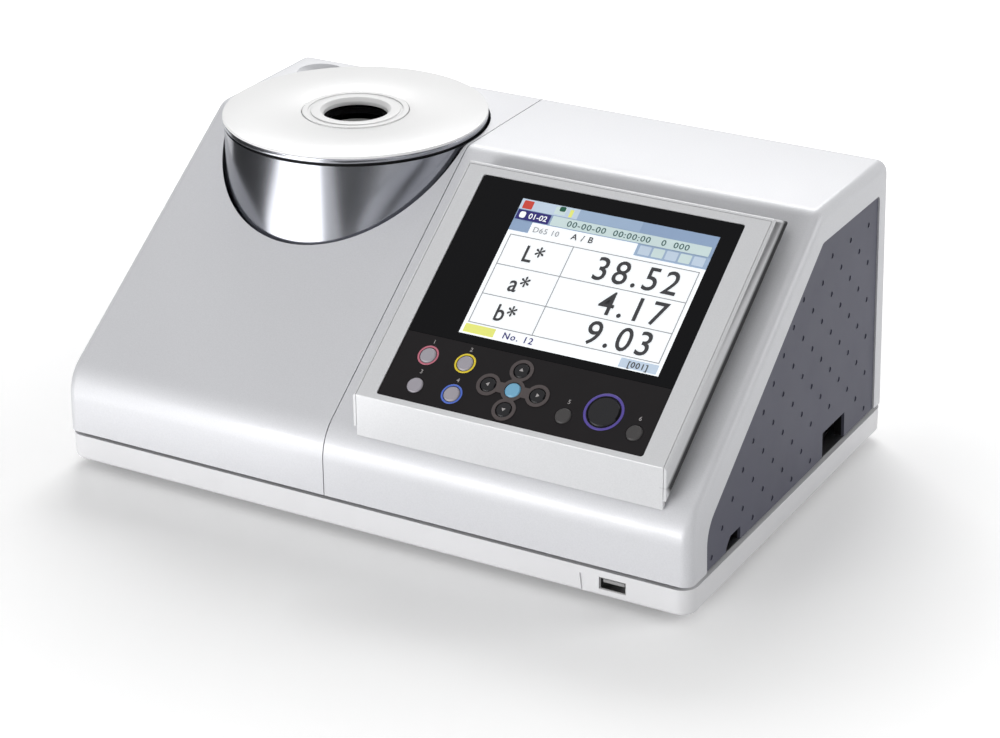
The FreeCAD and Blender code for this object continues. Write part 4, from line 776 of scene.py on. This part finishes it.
@dataclass
class ScreenImage:
    """What the screen shows: a measurement table with plain values.

    Args:
        press: printing on the slope.
        left: left edge of the lit area, from the window's left edge.
        front: front edge of the lit area, from the keypad's front edge.
        width: width of the lit area.
        length: length of the lit area up the slope.
        film: thickness of each flat shape.
        film_gap: height of the lowest one over the window.
        layer_pitch: height from layer to layer.
        type_height: height of the type over the window.
    """

    press: Printing
    left: float = 28.2 * MM
    front: float = 45.6 * MM
    width: float = 116.0 * MM
    length: float = 86.5 * MM
    film: float = 0.04 * MM
    film_gap: float = 0.02 * MM
    layer_pitch: float = 0.05 * MM
    type_height: float = 0.24 * MM

    def span(self, name: str, x0: float, y0: float, x1: float, y1: float, layer: int,
             finish: str, corner: float = 0.0) -> None:
        """A flat shape given in shares of the lit area, on one of its layers."""
        self.press.tile(name, self.left + x0 * self.width, self.front + y0 * self.length,
                        self.left + x1 * self.width, self.front + y1 * self.length,
                        self.film_gap + self.layer_pitch * layer, finish, self.film, corner)

    def type(self, name: str, text: str, x: float, y: float, size: float, finish: str,
             align: str = "CENTER", squeeze: float = 1.0, spread: float = 1.0,
             weight: float = 0.012) -> None:
        """Numerals or letters at a place given in shares of the lit area."""
        self.press.words(name, text, self.left + x * self.width, self.front + y * self.length,
                         size * self.length, self.type_height, finish, "window_black", align,
                         squeeze, spread, weight)

    def make(self) -> None:
        """Lay out the whole picture."""
        self.span("screen_light", 0.0, 0.0, 1.0, 1.0, 0, "screen_white")
        self.span("screen_header", 0.0, 0.845, 1.0, 1.0, 1, "screen_blue")
        self.span("screen_header_left", 0.0, 0.925, 0.30, 1.0, 2, "screen_pale_blue")
        self.span("screen_header_middle", 0.30, 0.925, 0.62, 1.0, 2, "screen_mid_blue")
        self.span("screen_corner", 0.0, 0.765, 0.10, 0.85, 1, "screen_blue")
        self.span("screen_flag", 0.015, 0.93, 0.065, 0.99, 3, "screen_red", 0.6 * MM)
        self.span("screen_mark_pale", 0.18, 0.935, 0.235, 0.99, 3, "screen_mint", 0.5 * MM)
        self.span("screen_mark_green", 0.20, 0.96, 0.23, 0.995, 4, "screen_green", 0.8 * MM)
        self.span("screen_mark_yellow", 0.255, 0.93, 0.272, 0.985, 3, "screen_yellow", 0.3 * MM)
        self.span("screen_tag", 0.005, 0.85, 0.175, 0.92, 3, "screen_navy", 0.4 * MM)
        self.type("screen_tag_text", "01-02", 0.115, 0.882, 0.055, "screen_white")
        self.span("screen_tag_dot", 0.02, 0.862, 0.05, 0.908, 4, "screen_white", 1.2 * MM)
        self.span("screen_date_band", 0.185, 0.85, 0.985, 0.92, 3, "screen_mint", 0.4 * MM)
        self.type("screen_date", "00-00-00  00:00:00   0  000", 0.575, 0.882, 0.058,
                  "screen_teal", squeeze=1.1, spread=1.15)
        self.type("screen_mode", "A / B", 0.37, 0.80, 0.06, "screen_ink", spread=1.2)
        self.type("screen_angle", "D65 10", 0.185, 0.795, 0.055, "screen_line", spread=1.1)
        self.span("screen_tab_band", 0.64, 0.762, 1.0, 0.85, 1, "screen_mid_blue")
        for index in range(5):
            start = 0.655 + 0.067 * index
            finish = "screen_mint" if index % 2 else "screen_pale_blue"
            self.span(f"screen_tab_{index}", start, 0.775, start + 0.057, 0.838, 2, finish,
                      0.5 * MM)
        rows = (0.735, 0.515, 0.295, 0.085)
        for index, height in enumerate(rows):
            self.span(f"screen_rule_{index}", 0.02, height - 0.0035, 0.98, height + 0.0035, 1,
                      "screen_line")
        for index, place in enumerate((0.02, 0.345, 0.975)):
            self.span(f"screen_post_{index}", place, rows[-1], place + 0.005, rows[0], 2,
                      "screen_line")
        for index, (label, number) in enumerate((("L*", "38.52"), ("a*", "4.17"),
                                                 ("b*", "9.03"))):
            middle = (rows[index] + rows[index + 1]) / 2 - 0.01
            self.type(f"screen_label_{index}", label, 0.175, middle, 0.165, "screen_ink",
                      squeeze=0.85, spread=1.1)
            self.type(f"screen_value_{index}", number, 0.915, middle, 0.235, "screen_ink",
                      "RIGHT", 0.92, 1.22, 0.006)
        self.span("screen_softkey", 0.015, 0.012, 0.17, 0.072, 1, "screen_yellow", 0.4 * MM)
        self.type("screen_note", "No. 12", 0.29, 0.04, 0.062, "screen_navy", spread=1.2)
        self.span("screen_page_box", 0.80, 0.008, 0.985, 0.072, 1, "screen_pale_blue")
        self.type("screen_page", "[001]", 0.89, 0.035, 0.055, "screen_ink", spread=1.15)
        log.info("screen image laid out")


@dataclass
class Keypad:
    """Printed rings, numerals and arrows on and round the keys."""

    press: Printing
    ring_height: float = 0.05 * MM
    small_ring: tuple[float, float] = (5.35 * MM, 0.55 * MM)
    large_ring: tuple[float, float] = (10.1 * MM, 0.75 * MM)
    numeral_offset: float = 8.4 * MM
    numeral_size: float = 3.4 * MM
    numeral_height: float = 0.03 * MM

    def make(self) -> None:
        """Ring the coloured keys, number the others and point the arrows."""
        for name, node, size in (("ring_pink", "key_pink", self.small_ring),
                                 ("ring_yellow", "key_yellow", self.small_ring),
                                 ("ring_blue", "key_blue", self.small_ring),
                                 ("ring_violet", "key_measure", self.large_ring)):
            x, along, _ = self.press.slope.place_of(node)
            self.press.ring(name, x, along, *size, self.ring_height, name)
        for index, node in enumerate(("key_pink", "key_yellow", "key_plain", "key_blue",
                                      "key_back", "key_print"), 1):
            x, along, _ = self.press.slope.place_of(node)
            self.press.words(f"numeral_{index}", str(index), x, along + self.numeral_offset,
                             self.numeral_size, self.numeral_height, "print_pale",
                             "keypad_black")
        for node, angle in (("key_right", 0.0), ("key_up", math.pi / 2),
                            ("key_left", math.pi), ("key_down", -math.pi / 2)):
            self.press.arrow(f"arrow_{node}", node, angle)
        log.info("keypad printed")


class Card(Enum):
    """A reflector's shade and the strength of its own light."""

    DARK = (0.03, 0.0)
    BRIGHT = (0.98, 2.7)


@dataclass
class Studio:
    """Floor, lamps, world and the camera at the photograph's angle.

    Args:
        foot: height of the base tray's lower edge over the floor.
        position: where the camera stands.
        yaw: how far the camera is turned to the left of the depth axis.
        pitch: how far it looks down.
        roll: how far it is tipped.
        lens: focal length, in millimetres.
        surround: strength of the surround as a light.
        near: distance from the origin up to which the floor glows least.
        far: distance from which it glows most.
        glow: least and most glow of the floor to the camera.
    """

    foot: float
    position: Point = (0.7288211, -1.2642436, 0.7250495)
    yaw: float = 0.5147
    pitch: float = 0.4361
    roll: float = -0.0090
    lens: float = 103.88
    surround: float = 0.42
    near: float = 0.2
    far: float = 0.7
    glow: tuple[float, float] = (0.1, 0.62)

    def camera(self) -> None:
        """Place the camera where the photograph was taken from."""
        data = bpy.data.cameras.new("camera")
        camera = bpy.data.objects.new("camera", data)
        bpy.context.scene.collection.objects.link(camera)
        forward = Vector((-math.sin(self.yaw) * math.cos(self.pitch),
                          math.cos(self.yaw) * math.cos(self.pitch), -math.sin(self.pitch)))
        level = Vector((math.cos(self.yaw), math.sin(self.yaw), 0.0))
        rise = level.cross(forward)
        right = level * math.cos(self.roll) + rise * math.sin(self.roll)
        top = rise * math.cos(self.roll) - level * math.sin(self.roll)
        turn = Matrix((right, top, -forward)).transposed().to_4x4()
        place = Vector(self.position) + Vector((0.0, 0.0, self.foot))
        camera.matrix_world = Matrix.Translation(place) @ turn
        data.sensor_width = 36.0
        data.lens = self.lens
        data.clip_start = 0.05
        bpy.context.scene.camera = camera

    def floor(self) -> None:
        """A pale floor that takes the object's shadow; a camera-only glow, weakest near the
        origin, paints it white further out and leaves a painted shade halo round the object.
        """
        Workbench.clear()
        bpy.ops.mesh.primitive_plane_add(size=14.0)
        floor = bpy.context.active_object
        floor.name = "floor"
        material = Finish("floor_white", (0.98, 0.98, 0.98), 0.8, 0.0, Grain.DUSTY,
                          0.004, 0.00001, 0.004, shine=0.0).build()
        tree = material.node_tree
        shader = tree.nodes["Principled BSDF"]
        # Painted light and shade: glow seen only by the camera grows with distance from the
        # origin, so the floor near the object keeps a painted shade halo
        shader.inputs["Emission Color"].default_value = (1.0, 1.0, 1.0, 1.0)
        lift = tree.nodes.new("ShaderNodeMath")
        lift.operation = "MULTIPLY"
        reach = tree.nodes.new("ShaderNodeVectorMath")
        reach.operation = "LENGTH"
        fade = tree.nodes.new("ShaderNodeMapRange")
        fade.inputs["From Min"].default_value = self.near
        fade.inputs["From Max"].default_value = self.far
        fade.inputs["To Min"].default_value = self.glow[0]
        fade.inputs["To Max"].default_value = self.glow[1]
        tree.links.new(tree.nodes.new("ShaderNodeNewGeometry").outputs["Position"],
                       reach.inputs[0])
        tree.links.new(reach.outputs["Value"], fade.inputs["Value"])
        tree.links.new(fade.outputs["Result"], lift.inputs[1])
        tree.links.new(tree.nodes.new("ShaderNodeLightPath").outputs["Is Camera Ray"],
                       lift.inputs[0])
        tree.links.new(lift.outputs["Value"], shader.inputs["Emission Strength"])
        floor.data.materials.append(material)

    def lamp(self, name: str, place: Point, aim: Point,
             size: tuple[float, float], power: float) -> None:
        """A soft rectangular lamp.

        Args:
            name: name of the lamp.
            place: where it hangs.
            aim: point that it faces.
            size: width and height of its face.
            power: power in watts.
        """
        data = bpy.data.lights.new(name, "AREA")
        data.shape = "RECTANGLE"
        data.size, data.size_y = size
        data.energy = power
        lamp = bpy.data.objects.new(name, data)
        bpy.context.scene.collection.objects.link(lamp)
        lamp.location = place
        lamp.rotation_mode = "QUATERNION"
        lamp.rotation_quaternion = (Vector(aim) - Vector(place)).to_track_quat("-Z", "Y")

    def world(self) -> None:
        """An even surround: white to the eye and in metal, softer as a light."""
        world = bpy.data.worlds.new("surround")
        bpy.context.scene.world = world
        world.use_nodes = True
        tree = world.node_tree
        back = tree.nodes["Background"]
        back.inputs["Color"].default_value = (1.0, 1.0, 1.0, 1.0)
        ray = tree.nodes.new("ShaderNodeLightPath")
        seen = ray.outputs["Is Camera Ray"]
        for other in ("Is Glossy Ray", "Is Transmission Ray"):
            either = tree.nodes.new("ShaderNodeMath")
            either.operation = "MAXIMUM"
            tree.links.new(seen, either.inputs[0])
            tree.links.new(ray.outputs[other], either.inputs[1])
            seen = either.outputs["Value"]
        strength = tree.nodes.new("ShaderNodeMapRange")
        strength.inputs["To Min"].default_value = self.surround
        strength.inputs["To Max"].default_value = 1.0
        tree.links.new(seen, strength.inputs["Value"])
        tree.links.new(strength.outputs["Result"], back.inputs["Strength"])

    @staticmethod
    def card(name: str, place: Point, width: float, height: float, kind: Card,
             flat: bool = False) -> None:
        """A card that only reflections see, as studios use to shape chrome.

        Args:
            name: name of the card.
            place: its middle.
            width: its width.
            height: its height.
            kind: dark, or bright with its own light.
            flat: whether it lies on the floor and doesn't face the tower.
        """
        Workbench.clear()
        bpy.ops.mesh.primitive_plane_add(size=1.0, location=place)
        card = bpy.context.active_object
        card.name = name
        if not flat:
            facing = (Vector((-0.1, 0.04, 0.12)) - Vector(place)).to_track_quat("Z", "Y")
            card.rotation_mode = "QUATERNION"
            card.rotation_quaternion = facing
        card.scale = (width, height, 1.0)
        shade, glow = kind.value
        card.data.materials.append(Finish(name, (shade, shade, shade), 0.9, 0.0, Grain.DUSTY,
                                          0.01, 0.0001, 0.02, glow=glow).build())
        card.visible_camera = False
        card.visible_diffuse = False
        card.visible_shadow = False
        card.visible_transmission = False

    def make(self) -> None:
        """Set up the whole studio."""
        self.camera()
        self.floor()
        self.world()
        self.lamp("back", (-0.75, 1.6, 1.55), (0.0, 0.05, 0.1), (1.5, 0.9), 26.0)
        self.lamp("front", (-0.6, -2.1, 0.28), (0.0, -0.05, 0.06), (1.4, 0.4), 26.0)
        self.lamp("side", (1.9, 0.9, 0.9), (0.1, 0.0, 0.08), (0.9, 0.9), 11.0)
        self.card("left_flag", (-0.9, -0.15, 0.45), 1.0, 0.9, Card.DARK)
        self.card("right_flag", (0.95, 0.1, 0.5), 1.1, 0.9, Card.DARK)
        self.card("floor_flag", (0.29, -0.6, 0.003), 0.55, 0.65, Card.DARK, flat=True)
        self.card("floor_strip", (-0.23, -0.62, 0.003), 0.3, 0.85, Card.BRIGHT, flat=True)
        self.card("floor_flag_left", (-0.72, -0.35, 0.003), 0.66, 0.9, Card.DARK, flat=True)
        bpy.context.scene.view_settings.view_transform = "Standard"
        log.info("studio set")


def main() -> None:
    """Build the classes in order and report each."""
    bench = Workbench()
    Casing(bench).dress()
    Turnery(bench).make()
    press = Printing(bench, Slope.measure())
    ScreenImage(press).make()
    Keypad(press).make()
    low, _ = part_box("base_shell")
    Studio(low.z).make()


if __name__ == "__main__":
    main()
